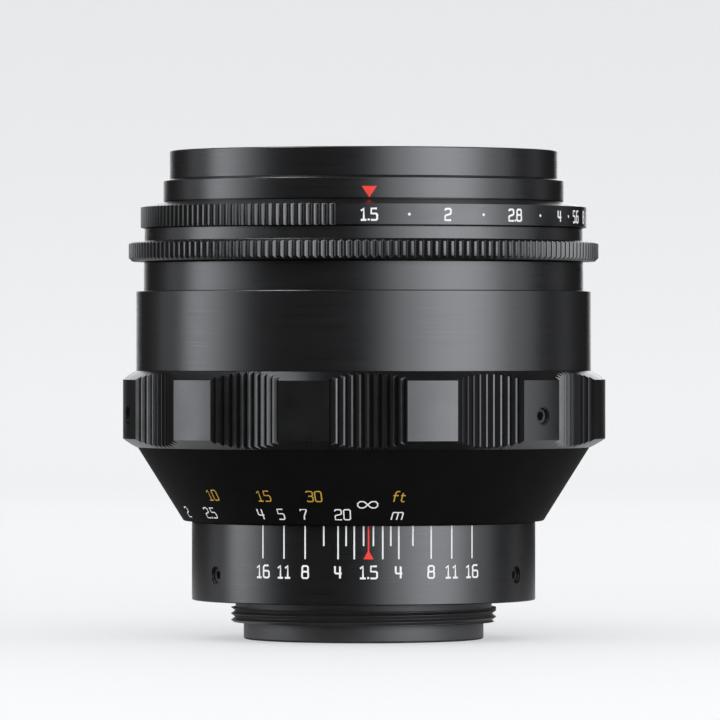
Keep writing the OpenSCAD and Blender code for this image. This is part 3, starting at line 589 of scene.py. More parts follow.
def mix_colour(add, factor, dark, light):
    """Colour between two, by a factor."""
    return add("ShaderNodeMix", {"Factor": factor, 6: (*dark, 1), 7: (*light, 1)}, data_type="RGBA").outputs[2]


def spread(add, value, low, high):
    """Stretches a noise value over a range."""
    noise_low, noise_high = 0.3, 0.7
    return add("ShaderNodeMapRange", {"Value": value, "From Min": noise_low, "From Max": noise_high,
                                      "To Min": low, "To Max": high}).outputs[0]


def round_coordinates(add, place, grain, streak):
    """Coordinates that run along a turned surface: fine across the lathe marks, slow along them."""
    outward = 0.8
    parts = add("ShaderNodeSeparateXYZ", {0: place}).outputs
    flat = add("ShaderNodeCombineXYZ", {0: parts[0], 1: parts[1]}).outputs[0]
    radius = add("ShaderNodeVectorMath", {0: flat}, operation="LENGTH").outputs["Value"]
    across = reckon(add, "MULTIPLY", reckon(add, "MULTIPLY_ADD", radius, outward, parts[2]), 1 / grain)
    heading = add("ShaderNodeVectorMath", {0: flat}, operation="NORMALIZE").outputs[0]
    slow = add("ShaderNodeVectorMath", {0: heading, "Scale": streak}, operation="SCALE").outputs[0]
    turned = add("ShaderNodeSeparateXYZ", {0: slow}).outputs
    return add("ShaderNodeCombineXYZ", {0: across, 1: turned[0], 2: turned[1]}).outputs[0]


def turned_finish(name, colour, roughness, metallic=0, specular=0.5, grain=0.00016, lathe=0.22e-6):
    """A lathe-turned and coated metal: fine rings of bump, uneven gloss and a faint mottle."""
    vary, uneven, streak, grit_depth = 0.18, 0.03, 2.4, 0.35e-6
    mottle_scale, grit_scale, rings_share, even = 260, 9000, 0.5, 0.667
    material, add, feed_shader = start_material(name)
    place = object_place(add)
    rings = noise(add, round_coordinates(add, place, grain, streak), 1, 3, 0.6)
    mottle = noise(add, place, mottle_scale, 4)
    grit = noise(add, place, grit_scale, 2)
    blend = reckon(add, "MULTIPLY", reckon(add, "MULTIPLY_ADD", rings, rings_share, mottle), even)
    dark, light = [[c * (1 + side * vary) for c in colour] for side in (-1, 1)]
    normal = add("ShaderNodeBump", {"Height": grit, "Strength": 1, "Distance": grit_depth}).outputs[0]
    if lathe:
        normal = add("ShaderNodeBump", {"Height": rings, "Strength": 1, "Distance": lathe,
                                        "Normal": normal}).outputs[0]
    feed_shader({
        "Base Color": mix_colour(add, spread(add, blend, 0, 1), dark, light),
        "Roughness": spread(add, rings if lathe else mottle, roughness - uneven, roughness + uneven),
        "Normal": normal, "Metallic": metallic, "Specular IOR Level": specular})
    return material


def paint_finish(name, colour):
    """Filled-in engraving paint: slightly uneven in tone, gloss and level."""
    roughness, uneven, fade, specular, level = 0.5, 0.08, 0.93, 0.3, 4e-6
    cloud_scale, grit_scale = 1500, 7000
    material, add, feed_shader = start_material(name)
    place = object_place(add)
    cloud = noise(add, place, cloud_scale, 3)
    grit = noise(add, place, grit_scale, 2)
    feed_shader({
        "Base Color": mix_colour(add, spread(add, cloud, 0, 1), [c * fade for c in colour], colour),
        "Roughness": spread(add, grit, roughness - uneven, roughness + uneven), "Specular IOR Level": specular,
        "Normal": add("ShaderNodeBump", {"Height": grit, "Strength": 0.5, "Distance": level}).outputs[0]})
    return material


def glass_finish(name, film):
    """Polished optical glass with a thin coating, in nanometres, and the faintest trace of dust."""
    glass_index, film_index, dust_scale, dust_rough = 1.62, 1.38, 900, 0.02
    material, add, feed_shader = start_material(name)
    dust = noise(add, object_place(add), dust_scale, 3)
    feed_shader({
        "Roughness": spread(add, dust, 0, dust_rough),
        "Base Color": mix_colour(add, dust, (0.97, 0.98, 1), (1, 0.99, 0.97)), "Transmission Weight": 1,
        "IOR": glass_index, "Thin Film Thickness": film, "Thin Film IOR": film_index})
    return material


def finishes():
    """Makes the materials once and keeps them by name."""
    look = bpy.context.scene.lens_look
    turned = {
        "satin_black": (look.black, look.black_roughness, {}),
        "blasted_black": (look.black, look.black_roughness, {"lathe": 0}),
        "cone_black": (look.cone_black, 0.6, {"specular": 0.04}),
        "mount_black": (look.mount_black, 0.46, {}),
        "inside_black": (look.inside_black, 0.7, {"specular": 0.2}),
        "screw_black": (look.screw_black, 0.3, {"metallic": 0.6, "grain": 0.0001}),
        "brass": (look.brass, 0.3, {"metallic": 1}),
        "steel": (look.steel, 0.28, {"metallic": 1}),
        "blued_blade": (look.blade, 0.4, {"metallic": 0.7, "grain": 0.0003})}
    paints = {"white_fill": look.white, "amber_fill": look.amber, "red_fill": look.red}
    films = (330, 420, 360, 390, 345, 410)
    made = {name: turned_finish(name, colour, rough, **more) for name, (colour, rough, more) in turned.items()}
    made.update({name: paint_finish(name, colour) for name, colour in paints.items()})
    glasses = {f"glass_{number}": film for number, film in enumerate(films, 1)}
    made.update({name: glass_finish(name, film) for name, film in glasses.items()})
    return made


MATERIALS = {}


def finish(name):
    """A material by name."""
    if not MATERIALS:
        MATERIALS.update(finishes())
    return MATERIALS[name]


# Values that the user may change

def length(name, description, default):
    """A length, with its default in millimetres."""
    return FloatProperty(name=name, description=description, default=default * MM, min=0, unit="LENGTH",
                         precision=5)


def count(name, description, default, low, high):
    """A whole number."""
    return IntProperty(name=name, description=description, default=default, min=low, max=high)


def strength(name, description, default):
    """A strength of light or gloss."""
    return FloatProperty(name=name, description=description, default=default, min=0)


def colour_of(name, description, default):
    """A linear colour."""
    return FloatVectorProperty(name=name, description=description, default=default, size=3, min=0, max=1,
                               subtype="COLOR")


class LensSizes(bpy.types.PropertyGroup):
    """Sizes of the modelled details."""

    edge_soft: length("Edge softness", "Width of the eased corners of the turned rings", 0.08)
    turn_steps: count("Turn steps", "Steps of one turn of a turned ring", 240, 48, 480)
    glass_steps: count("Glass steps", "Steps of one turn of a glass element", 128, 48, 256)
    thread_pitch: length("Mount pitch", "Pitch of the mounting thread", 1)
    filter_pitch: length("Filter pitch", "Pitch of the filter thread", 0.75)
    knurl_depth: length("Knurl depth", "Depth of the teeth of the two knurled rings", 0.42)
    knurl_teeth: count("Knurl teeth", "Teeth around a knurled ring", 180, 90, 240)
    scallop_depth: length("Scallop depth", "Depth of a grip scallop at its middle", 1.7)
    ridge_depth: length("Ridge depth", "Depth of the grooves in a scallop", 0.75)


class LensMarks(bpy.types.PropertyGroup):
    """Sizes of the engraved scales."""

    paint_thickness: length("Paint thickness", "Thickness of the paint in the engraving", 0.06)
    dial_height: length("f-number height", "Height of the f-numbers on the preset ring", 1.76)
    dial_stroke: length("f-number stroke", "Stroke of the f-numbers", 0.32)
    depth_height: length("Depth numeral height", "Height of the numerals of the depth scale", 1.87)
    depth_stroke: length("Depth stroke", "Stroke of the depth scale", 0.3)
    distance_height: length("Distance numeral height", "Height of the distance numerals along the cone", 1.86)
    distance_stroke: length("Distance stroke", "Stroke of the distance numerals", 0.21)


class LensLook(bpy.types.PropertyGroup):
    """Colours and gloss of the finishes."""

    black: colour_of("Satin black", "Anodised rings", (0.0047, 0.0048, 0.0051))
    black_roughness: strength("Satin roughness", "Roughness of the anodised rings", 0.3)
    cone_black: colour_of("Cone black", "Matte black of the distance cone", (0.004, 0.004, 0.0041))
    mount_black: colour_of("Mount black", "Coated mount and pilot", (0.026, 0.026, 0.0267))
    inside_black: colour_of("Inside black", "Blackened inner rings", (0.006, 0.006, 0.006))
    screw_black: colour_of("Screw black", "Blackened grub screws", (0.03, 0.03, 0.03))
    brass: colour_of("Brass", "Helicoid and keys", (0.55, 0.4, 0.16))
    steel: colour_of("Steel", "Small screws, ball and spring", (0.5, 0.5, 0.52))
    blade: colour_of("Blued blade", "Iris blades", (0.03, 0.032, 0.04))
    white: colour_of("White", "White scale paint", (0.8, 0.8, 0.8))
    amber: colour_of("Amber", "Amber scale paint", (0.5, 0.3, 0.028))
    red: colour_of("Red", "Red index paint", (0.8, 0.035, 0.014))


class LensStudio(bpy.types.PropertyGroup):
    """The camera, the floor and the lights."""

    camera_distance: length("Camera distance", "From the lens axis to the camera", 1130)
    camera_height: length("Camera height", "Height of the camera over the floor", 47)
    camera_turn: FloatProperty(
        name="Camera turn", description="Turn of the camera around the lens from the index",
        default=math.radians(-1.6), unit="ROTATION")
    frame_width: length("Frame width", "Width of the picture at the lens axis", 114.1)
    side_power: strength("Side light", "Strength of the side lights", 0.92)
    top_power: strength("Top light", "Strength of the overhead light", 1)
    fill: strength("Fill", "Strength of the even fill light", 1.12)


class LENS_OT_mount_ring(bpy.types.Operator):
    """Rear mount: pilot, helical thread, relief, seat and the spigot inside the depth ring"""

    bl_idname = "lens.mount_ring"
    bl_label = "Mount ring"

    def execute(self, context):
        r_bore, r_pilot, r_thread, r_undercut, r_spigot, r_socket = 17.9, 19, 21, 20.3, 24.95, 22.55
        z_pilot, z_thread, z_floor, z_spigot, lead = 2.7, 5, 8, 13, 0.3
        z_notch, notch, notch_half = 10.5, 0.8, 1.3
        pitch = context.scene.lens_sizes.thread_pitch / MM
        ring = turned_ring("mount", [
            (r_bore, 0, 0.15), (r_pilot, 0, 0.35), (r_pilot, z_pilot, 0), (r_thread - lead, z_pilot, 0),
            (r_thread, z_pilot + lead, 0), (r_thread, z_thread, 0), (r_undercut, z_thread, 0),
            (r_undercut, Z_SEAT, 0), (r_spigot, Z_SEAT, 0), (r_spigot, z_notch - notch_half, 0),
            (r_spigot - notch, z_notch, 0), (r_spigot, z_notch + notch_half, 0), (r_spigot, z_spigot),
            (r_socket, z_spigot), (r_socket, z_floor, 0), (r_bore, z_floor)])
        depth, mouth, clear = 0.6 * pitch, 0.46 * pitch, 0.4
        z_from, z_to = z_pilot - 0.7 * pitch, z_thread - 0.2 * pitch
        cut(ring, thread_tool("mount_thread_tool", r_thread, depth, mouth, clear, pitch, z_from, z_to))
        dress(ring, "base", "mount_black", "mount_ring", slot="mount_black")
        return {"FINISHED"}


class LENS_OT_depth_ring(bpy.types.Operator):
    """Depth-of-field ring with its three grub screws"""

    bl_idname = "lens.depth_ring"
    bl_label = "Depth ring"

    def execute(self, context):
        r_in, screw_r, z_screw, sunk, gap = 25, 1.25, 10.5, 0.5, 0.05
        wider, mouth, tail = 0.14, 0.3, 0.3
        angles = [INDEX_AT + a for a in (-60, 60, 180)]
        ring = turned_ring("depth_ring", [
            (r_in, Z_SEAT), (R_DEPTH, Z_SEAT, 0.16), (R_DEPTH, Z_DEPTH_TOP, 0.06), (r_in, Z_DEPTH_TOP)])
        drill_holes(ring, screw_r, wider, mouth, r_in, R_DEPTH, angles, z_screw)
        ease_edges(ring, 0.12, 50)
        dress(ring, "base", "satin_black", "depth_scale_ring")
        socket_screws("depth_ring_screws", screw_r - gap, r_in - tail, R_DEPTH - sunk, angles, z_screw, "base",
                      "mount_set_screws")
        return {"FINISHED"}


class LENS_OT_distance_cone(bpy.types.Operator):
    """Cone that carries the distance scale"""

    bl_idname = "lens.distance_cone"
    bl_label = "Distance cone"

    def execute(self, context):
        r_bore, r_lip, r_step, z_low, z_high = 27.3, 31.6, 30, 23.2, 25.6
        cone = turned_ring("distance_cone", [
            (r_bore, Z_CONE), (R_CONE, Z_CONE, 0.2), (R_CONE_TOP, Z_GRIP), (r_lip, Z_GRIP), (r_lip, z_high, 0),
            (r_step, z_high, 0), (r_step, z_low, 0), (r_bore, z_low, 0)])
        dress(cone, "focus", "cone_black", "distance_scale_ring")
        return {"FINISHED"}


class LENS_OT_focus_grip(bpy.types.Operator):
    """Grip with twelve ridged scallops between plain lobes, and its three grub screws"""

    bl_idname = "lens.focus_grip"
    bl_label = "Focus grip"

    def execute(self, context):
        sizes = context.scene.lens_sizes
        lobes, scallop, clocked, slope_h, under = 12, 18, -0.5, 1.4, 0.05
        depth, groove = sizes.scallop_depth / MM, sizes.ridge_depth / MM
        at = INDEX_AT + clocked
        lobe_half = (360 / lobes - scallop) / 2
        lobe_steps = range(round(lobe_half))
        line = [polar(R_GRIP, at - scallop / 2 - lobe_half + k) for k in lobe_steps]
        line += self.ridges(at, scallop, depth, groove)
        line += [polar(R_GRIP, at + scallop / 2 + k + 1) for k in lobe_steps]
        grip = draw_outline("focus_grip_ring", line)
        repeat_round(lobes, 360)
        r_root = R_GRIP - depth - groove - under

        def inset(r):
            return slope_h * (r - r_root) / (R_GRIP - r_root)

        raise_outline(grip, [
            (R_GRIP_IN, Z_GRIP), (r_root, Z_GRIP), lambda r: (r, Z_GRIP + inset(r)),
            lambda r: (r, Z_GRIP_TOP - inset(r)), (r_root, Z_GRIP_TOP), (R_GRIP_IN, Z_GRIP_TOP),
            (R_GRIP_IN, Z_GRIP)])
        screw_r, z_screw, sunk, gap, wider, mouth = 1.3, Z_GRIP + 5.15, 0.5, 0.05, 0.18, 0.2
        angles = [at + a for a in (45, 165, -75)]
        drill_holes(grip, screw_r, wider, mouth, R_GRIP_IN, R_GRIP, angles, z_screw)
        ease_edges(grip, 0.08, 25)
        dress(grip, "focus", "blasted_black", "focus_grip", angle=28)
        socket_screws("grip_screws", screw_r - gap, R_GRIP_IN, R_GRIP - sunk, angles, z_screw, "focus",
                      "grip_set_screws")
        return {"FINISHED"}

    def ridges(self, at, scallop, depth, groove):
        """Points of one hollow with its flat-topped ridges."""
        grooves, flat_half = 10, 0.13
        half = math.radians(scallop / 2)
        chord, bottom = R_GRIP * math.sin(half), R_GRIP - depth
        rise = R_GRIP * math.cos(half) - bottom
        hollow = (chord ** 2 + rise ** 2) / (2 * rise)
        sweep = math.asin(chord / hollow)
        flat = flat_half / hollow
        points = []
        for i in range(2 * grooves + 1):
            d = hollow + (groove if i % 2 else 0)
            for side in (0,) if i % 2 or i in (0, 2 * grooves) else (-flat, flat):
                a = sweep * (i / grooves - 1) + side
                x, y = bottom + hollow - d * math.cos(a), d * math.sin(a)
                points.append(polar(math.hypot(x, y), at + math.degrees(math.atan2(y, x))))
        return points


class LENS_OT_focus_sleeve(bpy.types.Operator):
    """Smooth sleeve above the grip"""

    bl_idname = "lens.focus_sleeve"
    bl_label = "Focus sleeve"

    def execute(self, context):
        r_neck_in, r_neck, r_bore, r_lip, z_lip, z_lip_top = 32.45, 34.2, 35.1, 31.6, 41.05, 43.2
        sleeve = turned_ring("smooth_sleeve", [
            (r_neck_in, Z_GRIP), (r_neck, Z_GRIP), (r_neck, Z_GRIP_TOP, 0), (R_SLEEVE, Z_GRIP_TOP),
            (R_SLEEVE, Z_SLEEVE_TOP, 0.2), (r_bore, Z_SLEEVE_TOP), (r_bore, z_lip_top, 0), (r_lip, z_lip_top),
            (r_lip, z_lip), (r_neck_in, z_lip, 0)])
        dress(sleeve, "focus", "satin_black", "focus_sleeve")
        return {"FINISHED"}


def middle_of(node):
    """Height of a CAD node's middle, in millimetres."""
    return (low_of(node) + top_of(node)) / 2


class LENS_OT_main_barrel(bpy.types.Operator):
    """Main barrel, of which a plain band shows under the aperture ring"""

    bl_idname = "lens.main_barrel"
    bl_label = "Main barrel"

    def execute(self, context):
        r_bore, r_tail, r_waist, r_hub, r_crown = 27.3, 29.2, 30.4, 31, 30.2
        r_front_bore, r_cell_bore, r_skirt_in, r_skirt, r_keyway = 29.3, 28.2, 33.7, 34.8, 28.2
        z_tail, z_ledge, z_skirt, z_web, z_cell = 26.3, 47.42, 43.4, 59.6, 63.2
        drop, web = 0.4, 2.6
        barrel = turned_ring("barrel", [
            (r_bore, z_tail), (r_tail, z_tail), (r_tail, z_ledge - drop, 0), (r_waist, z_ledge - drop, 0),
            (r_waist, z_web - web, 0), (r_skirt_in, z_web - web, 0), (r_skirt_in, z_skirt), (r_skirt, z_skirt),
            (r_skirt, z_web, 0.2), (r_hub, z_web, 0), (r_hub, Z_INDEX, 0), (r_crown, Z_INDEX, 0),
            (r_crown, Z_FILTER - drop), (r_front_bore, Z_FILTER - drop), (r_front_bore, z_cell, 0),
            (r_cell_bore, z_cell, 0), (r_cell_bore, z_ledge, 0), (r_bore, z_ledge, 0)])
        self.cut_ways(barrel, r_bore, r_keyway, z_tail)
        self.cut_screw_slot(barrel, r_cell_bore, r_hub)
        self.cut_click_room(barrel, r_front_bore, r_hub)
        dress(barrel, "barrel", "satin_black", "main_barrel")
        return {"FINISHED"}

    def cut_ways(self, barrel, r_bore, r_keyway, z_tail):
        """Two ways for the guide keys."""
        key_half, past, spare = 2.05, 1, 0.4
        width = 2 * math.degrees(math.asin(key_half / r_keyway))
        for side in (0, 180):
            cut(barrel, arc_block("keyway", r_bore - past, r_keyway, z_tail - past, top_of("guide_keys") + spare,
                                  side, width))

    def cut_screw_slot(self, barrel, r_cell_bore, r_hub):
        """The slot in which the drive screw of the iris turns."""
        turn, screw_at, end, half, past = 89, INDEX_AT - 50, 0.95, 0.9, 1
        z_screw = middle_of("aperture_drive_screw")
        width = turn + 2 * math.degrees(math.asin(end / r_cell_bore))
        cut(barrel, arc_block("screw_slot", r_cell_bore - past, r_hub + past, z_screw - half, z_screw + half,
                              screw_at - turn / 2, width))

    def cut_click_room(self, barrel, r_front_bore, r_hub):
        """Room for the click spring and its ball, and the hole of the stop screw."""
        click_at, spring_arc, ball_r, spring_t, stop_r, stop_in = INDEX_AT + 140, 26, 0.95, 0.15, 0.45, 0.8
        past, gap, spare = 1, 0.05, 0.1
        low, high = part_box("click_ball")
        ball = (low + high) / 2 / MM
        r_spring = ball.xy.length - ball_r - spring_t
        room = (top_of("click_spring") - low_of("click_spring")) / 2 + spare
        cut(barrel, arc_block("spring_room", r_front_bore - past, r_spring + spring_t + gap, ball.z - room,
                              ball.z + room, click_at, spring_arc))
        cut(barrel, radial_rod("ball_drill", ball_r + gap, r_spring, r_hub + past, click_at, ball.z))
        cut(barrel, radial_rod("stop_drill", stop_r, r_hub - stop_in, r_hub + past, INDEX_AT + 180,
                               middle_of("preset_stop_screw")))


def knurl_tooth(r, depth, pitch, start):
    """One tooth of a straight knurl, from the middle of its flat tip to the next, as a line of points."""
    flat = 0.15
    half = (flat + 0.5) / 2
    side = ((0, 0), (flat, 0), (half, depth / 2), (0.5, depth))
    outline = [*side, *((1 - along, fall) for along, fall in side[-2::-1])]
    return [polar(r - fall, start + pitch * along) for along, fall in outline]


class LENS_OT_aperture_ring(bpy.types.Operator):
    """Knurled aperture ring with its plain neck"""

    bl_idname = "lens.aperture_ring"
    bl_label = "Aperture ring"

    def execute(self, context):
        sizes = context.scene.lens_sizes
        teeth, depth = sizes.knurl_teeth, sizes.knurl_depth / MM
        ring = draw_outline("aperture_knurl", knurl_tooth(R_KNURL, depth, 360 / teeth, 0))
        repeat_round(teeth, 360)
        slope, slope_top, steep, foot, z_neck = 0.55, 0.45, 0.5, 0.25, Z_KNURL + 3
        r_low, r_high = R_KNURL - slope, R_KNURL - slope_top
        raise_outline(ring, [
            (R_RING_BORE, Z_KNURL), (r_low, Z_KNURL), lambda r: (r, Z_KNURL + r - r_low),
            lambda r: (r, z_neck - (r - r_high) * steep), (r_high, z_neck), (R_NECK + foot, z_neck),
            (R_NECK, z_neck + foot), (R_NECK, Z_NECK_TOP), (R_RING_BORE, Z_NECK_TOP), (R_RING_BORE, Z_KNURL)])
        ease_edges(ring, 0.05, 30)
        dress(ring, "aperture", "blasted_black", "aperture_ring", angle=28)
        return {"FINISHED"}


class LENS_OT_preset_ring(bpy.types.Operator):
    """Preset ring: knurled, with a plain sector for the f-numbers"""

    bl_idname = "lens.preset_ring"
    bl_label = "Preset ring"

    def execute(self, context):
        sizes = context.scene.lens_sizes
        pitch, depth = 360 / sizes.knurl_teeth, sizes.knurl_depth / MM
        plain_from, plain_to, plain_step, gap, under = -8.4, 98, 0.8, 0.05, 0.02
        teeth = round((360 + plain_from - plain_to) / pitch)
        line = knurl_tooth(R_PRESET, depth, pitch, INDEX_AT + plain_from - teeth * pitch)
        ring = draw_outline("preset_dial", line)
        repeat_round(teeth - 1, pitch * (teeth - 1))
        first, rest = Vector(line[0]), 360 - teeth * pitch
        select_points(ring, lambda point: (point.co - first).length < NEAR)
        spin(round(rest / plain_step), rest, 1)
        merge_doubles()
        z_edge, z_top, steep = Z_PRESET + 3.3, Z_PRESET_TOP - LIP_HANG, 0.25
        r_in, r_top, r_low = R_RING_BORE + gap, R_INDEX + gap, R_PRESET - depth - under
        fall = (z_top - z_edge) / (R_PRESET - r_top)
        raise_outline(ring, [
            (r_in, Z_PRESET), (r_low, Z_PRESET), lambda r: (r, Z_PRESET + (r - r_low) * steep),
            lambda r: (r, z_edge + (R_PRESET - r) * fall), (r_top, z_top), (r_in, z_top), (r_in, Z_PRESET)])
        ease_edges(ring, 0.05, 30)
        dress(ring, "preset", "blasted_black", "preset_ring", angle=28)
        return {"FINISHED"}


class LENS_OT_front_rings(bpy.types.Operator):
    """Index ring, filter ring with its inner thread, and the blank name ring around the front glass"""

    bl_idname = "lens.front_rings"
    bl_label = "Front rings"

    def execute(self, context):
        z_seat = Z_FILTER - 0.3
        self.index_ring(z_seat)
        self.filter_ring(z_seat, context.scene.lens_sizes.filter_pitch / MM)
        self.name_ring()
        return {"FINISHED"}

    def index_ring(self, z_seat):
        r_crown, r_lip, step, band_h = 30.25, 31.05, 0.1, 3
        z_lip = Z_INDEX - LIP_HANG
        index = turned_ring("index_band", [
            (r_crown, Z_INDEX), (r_lip, Z_INDEX, 0), (r_lip, z_lip, 0), (R_INDEX, z_lip),
            (R_INDEX, Z_INDEX + band_h, 0.1), (R_FILTER + step, z_seat, 0.04), (r_crown, z_seat)])
        dress(index, "barrel", "satin_black", "index_ring")

    def filter_ring(self, z_seat, pitch):
        r_skirt_in, r_skirt, r_bore, z_foot, z_step = 28.05, 29.25, 28.595, 65, Z_FILTER + 0.2
        rim = turned_ring("filter_rim", [
            (r_skirt_in, z_foot), (r_skirt, z_foot), (r_skirt, z_seat, 0), (R_FILTER, z_seat, 0.08),
            (R_FILTER, Z_FRONT, 0.22), (r_bore, Z_FRONT, 0.3), (r_bore, z_step, 0), (r_skirt_in, z_step)])
        depth, mouth, clear = 0.5 * pitch, 0.44 * pitch, 0.25
        z_from, z_to = z_step + 1.1 * pitch, Z_FRONT + pitch
        cut(rim, thread_tool("filter_thread_tool", r_bore, depth, mouth, clear, pitch, z_from, z_to, -1))
        dress(rim, "barrel", "satin_black", "filter_ring")

    def name_ring(self):
        r_in, r_glass, r_name, flat, tall, dip = 24.8, 25.5, 27.8, 0.3, 0.9, 0.3
        z_low, z_cell = low_of("name_ring"), Z_FILTER - 2
        name = turned_ring("plain_name_ring", [
            (r_in, z_low), (r_glass, z_low), (r_glass, z_cell), (r_name, z_cell), (r_name, z_cell + tall),
            (r_name - flat, z_cell + tall), (r_in, z_cell + dip, 0.12)])
        dress(name, "barrel", "inside_black", "name_ring")


def sag(vertex, curvature, r):
    """Height of a spherical surface at a distance from the axis; a positive curvature bulges forward."""
    return vertex - curvature + math.copysign(math.sqrt(curvature ** 2 - r ** 2), curvature)


def glass_section(radius, front, rear, low, high):
    """Half section of an element between two (vertex, curvature) surfaces, flattened at its ends, with its rim."""
    edge, steps = 0.12, 20
    radii = [radius * i / steps for i in range(steps + 1)]
    top = [(r, min(sag(*front, r), high)) for r in radii]
    bottom = [(r, max(sag(*rear, r), low)) for r in radii]
    for face in (top, bottom):
        face[-1] = (radius - edge, face[-1][1])
    rim = [(radius, top[-1][1] - edge), (radius, bottom[-1][1] + edge)]
    return top + rim + bottom[::-1]


class LENS_OT_glass(bpy.types.Operator):
    """The six elements, polished and coated"""

    bl_idname = "lens.glass"
    bl_label = "Glass"

    def execute(self, context):
        z_iris, cement = 41.697, 0.02
        v_5 = z_iris + 11.5
        v_4, v_3 = v_5 + 2.5, v_5 + 13.5
        v_2 = v_3 + 0.5
        v_1 = v_2 + 5.8
        v_6 = z_iris - 10.5
        v_7, v_8 = v_6 - 2.2, v_6 - 12.7
        v_9 = v_8 - 0.5
        v_10 = v_9 - 6.2
        elements = [
            ("front_element", 25.5, (v_1, 80), (v_2, 160)),
            ("second_element", 23, (v_3, 31), (v_4 + cement, 180)),
            ("third_element", 20.8, (v_4, 180), (v_5, 26)),
            ("fourth_element", 18.2, (v_6, -27), (v_7 + cement, 90)),
            ("fifth_element", 18.2, (v_7, 90), (v_8, -34)),
            ("rear_element", 17.5, (v_9, 95), (v_10, -75))]
        for number, (node, radius, front, rear) in enumerate(elements, 1):
            section = glass_section(radius, front, rear, low_of(node), top_of(node))
            dress(turned_glass(f"glass_of_{node}", section), "barrel", f"glass_{number}", node, slot="coated_glass",
                  angle=20)
        return {"FINISHED"}


class LENS_OT_inner_parts(bpy.types.Operator):
    """Inner rings, iris, helicoid and small fasteners"""

    bl_idname = "lens.inner_parts"
    bl_label = "Inner parts"

    def execute(self, context):
        smooth = {"base": ["base_tube"],
                  "barrel": ["front_cell", "iris_housing", "rear_cell", "front_doublet_ring", "rear_doublet_ring",
                             "rear_retaining_ring"]}
        for body, nodes in smooth.items():
            for node in nodes:
                dress(smooth_copy(node, f"smooth_{node}"), body, "inside_black", node, slot="black_matte")
        plain = {"brass": ["guide_keys", "helicoid_nut", "inner_helicoid", "iris_drive_ring"],
                 "steel": ["guide_key_screws", "focus_stop_pin", "rear_cell_screws", "click_ball", "click_spring",
                           "preset_stop_screw", "aperture_drive_screw"],
                 "blued_blade": [f"iris_blade_{i:02d}" for i in range(1, 13)]}
        for name, nodes in plain.items():
            for node in nodes:
                mesh = frame["nodes"][node].data
                mesh.materials.clear()
                mesh.materials.append(finish(name))
        return {"FINISHED"}


class LENS_OT_depth_scale(bpy.types.Operator):
    """Lines and numerals of the depth-of-field scale, with its red centre mark"""

    bl_idname = "lens.depth_scale"
    bl_label = "Depth scale"

    def execute(self, context):
        marks = context.scene.lens_marks
        height, stroke = marks.depth_height / MM, marks.depth_stroke / MM
        paint, line_stroke = marks.paint_thickness / MM, stroke * 0.8
        z_top, z_long, z_short, z_base = Z_DEPTH_TOP - 0.03, 13.36, 15.4, 10.4
        arrow_h, arrow_half, overlap = 1.45, 0.78, 0.3
        places = [(1.6, z_short, ""), (4.65, z_long, ""), (7.3, z_short, ""), (9.95, z_long, "4"),
                  (14.7, z_short, ""), (21.05, z_long, "8"), (28.6, z_long, "11"), (36.7, z_long, "16")]
        strokes, lines = label_strokes("1.5", 0, z_base, height), []
        for side in (-1, 1):
            for angle, z_end, text in places:
                across = side * math.radians(angle) * R_DEPTH
                lines.append([(across, z_end), (across, z_top)])
                if text:
                    strokes += label_strokes(text, across, z_base, height)
        centre = [[(0, z_long + arrow_h - overlap), (0, z_top)]]
        for name, group, width, look in (("depth_scale_white", strokes, stroke, "white_fill"),
                                         ("depth_scale_lines", lines, line_stroke, "white_fill"),
                                         ("depth_scale_line", centre, line_stroke, "red_fill")):
            lay_mark(draw_strokes(name, group, width, paint), R_DEPTH, "base", look)
        corners = [(-arrow_half, z_long), (arrow_half, z_long), (0, z_long + arrow_h)]
        lay_mark(draw_plate("depth_scale_arrow", corners, paint), R_DEPTH, "base", "red_fill")
        return {"FINISHED"}


class LENS_OT_distance_scale(bpy.types.Operator):
    """Metres in white and feet in amber on the cone"""

    bl_idname = "lens.distance_scale"
    bl_label = "Distance scale"

    def execute(self, context):
        marks = context.scene.lens_marks
        height, stroke = marks.distance_height / MM, marks.distance_stroke / MM
        paint, infinity_h = marks.paint_thickness / MM, 1.16
        widening = (R_CONE_TOP - R_CONE) / (Z_GRIP - Z_CONE)
        lean = math.degrees(math.atan(widening))
        metres = [("20", 7.9), ("7", 19.8), ("5", 27.3), ("4", 34.2), ("2.5", 55.8), ("2", 70.9), ("1.5", 98),
                  ("1.2", 129), ("1", 160), ("0.9", 182), ("0.8", 210.5), ("0.75", 228.6), ("m", -8.6)]
        feet = [("30", 15.8), ("15", 31.3), ("10", 50.4), ("5", 98.5), ("4", 127), ("3", 178.5),
                ("2.5", 225), (("f", "t"), -8.6)]
        rows = [("distance_metres", metres, 20.3, height, "white_fill"),
                ("distance_feet", feet, 23.13, height, "amber_fill"),
                ("distance_infinity", [(("inf",), 0.4)], 21.86, infinity_h, "white_fill")]
        for name, row, z_middle, tall, look in rows:
            radius = R_CONE + widening * (z_middle - Z_CONE)
            strokes = []
            for text, angle in row:
                strokes += label_strokes(text, -math.radians(angle) * radius, z_middle - tall / 2, tall)
            lay_mark(draw_strokes(name, strokes, stroke, paint), radius, "focus", look, lean, z_middle)
        return {"FINISHED"}


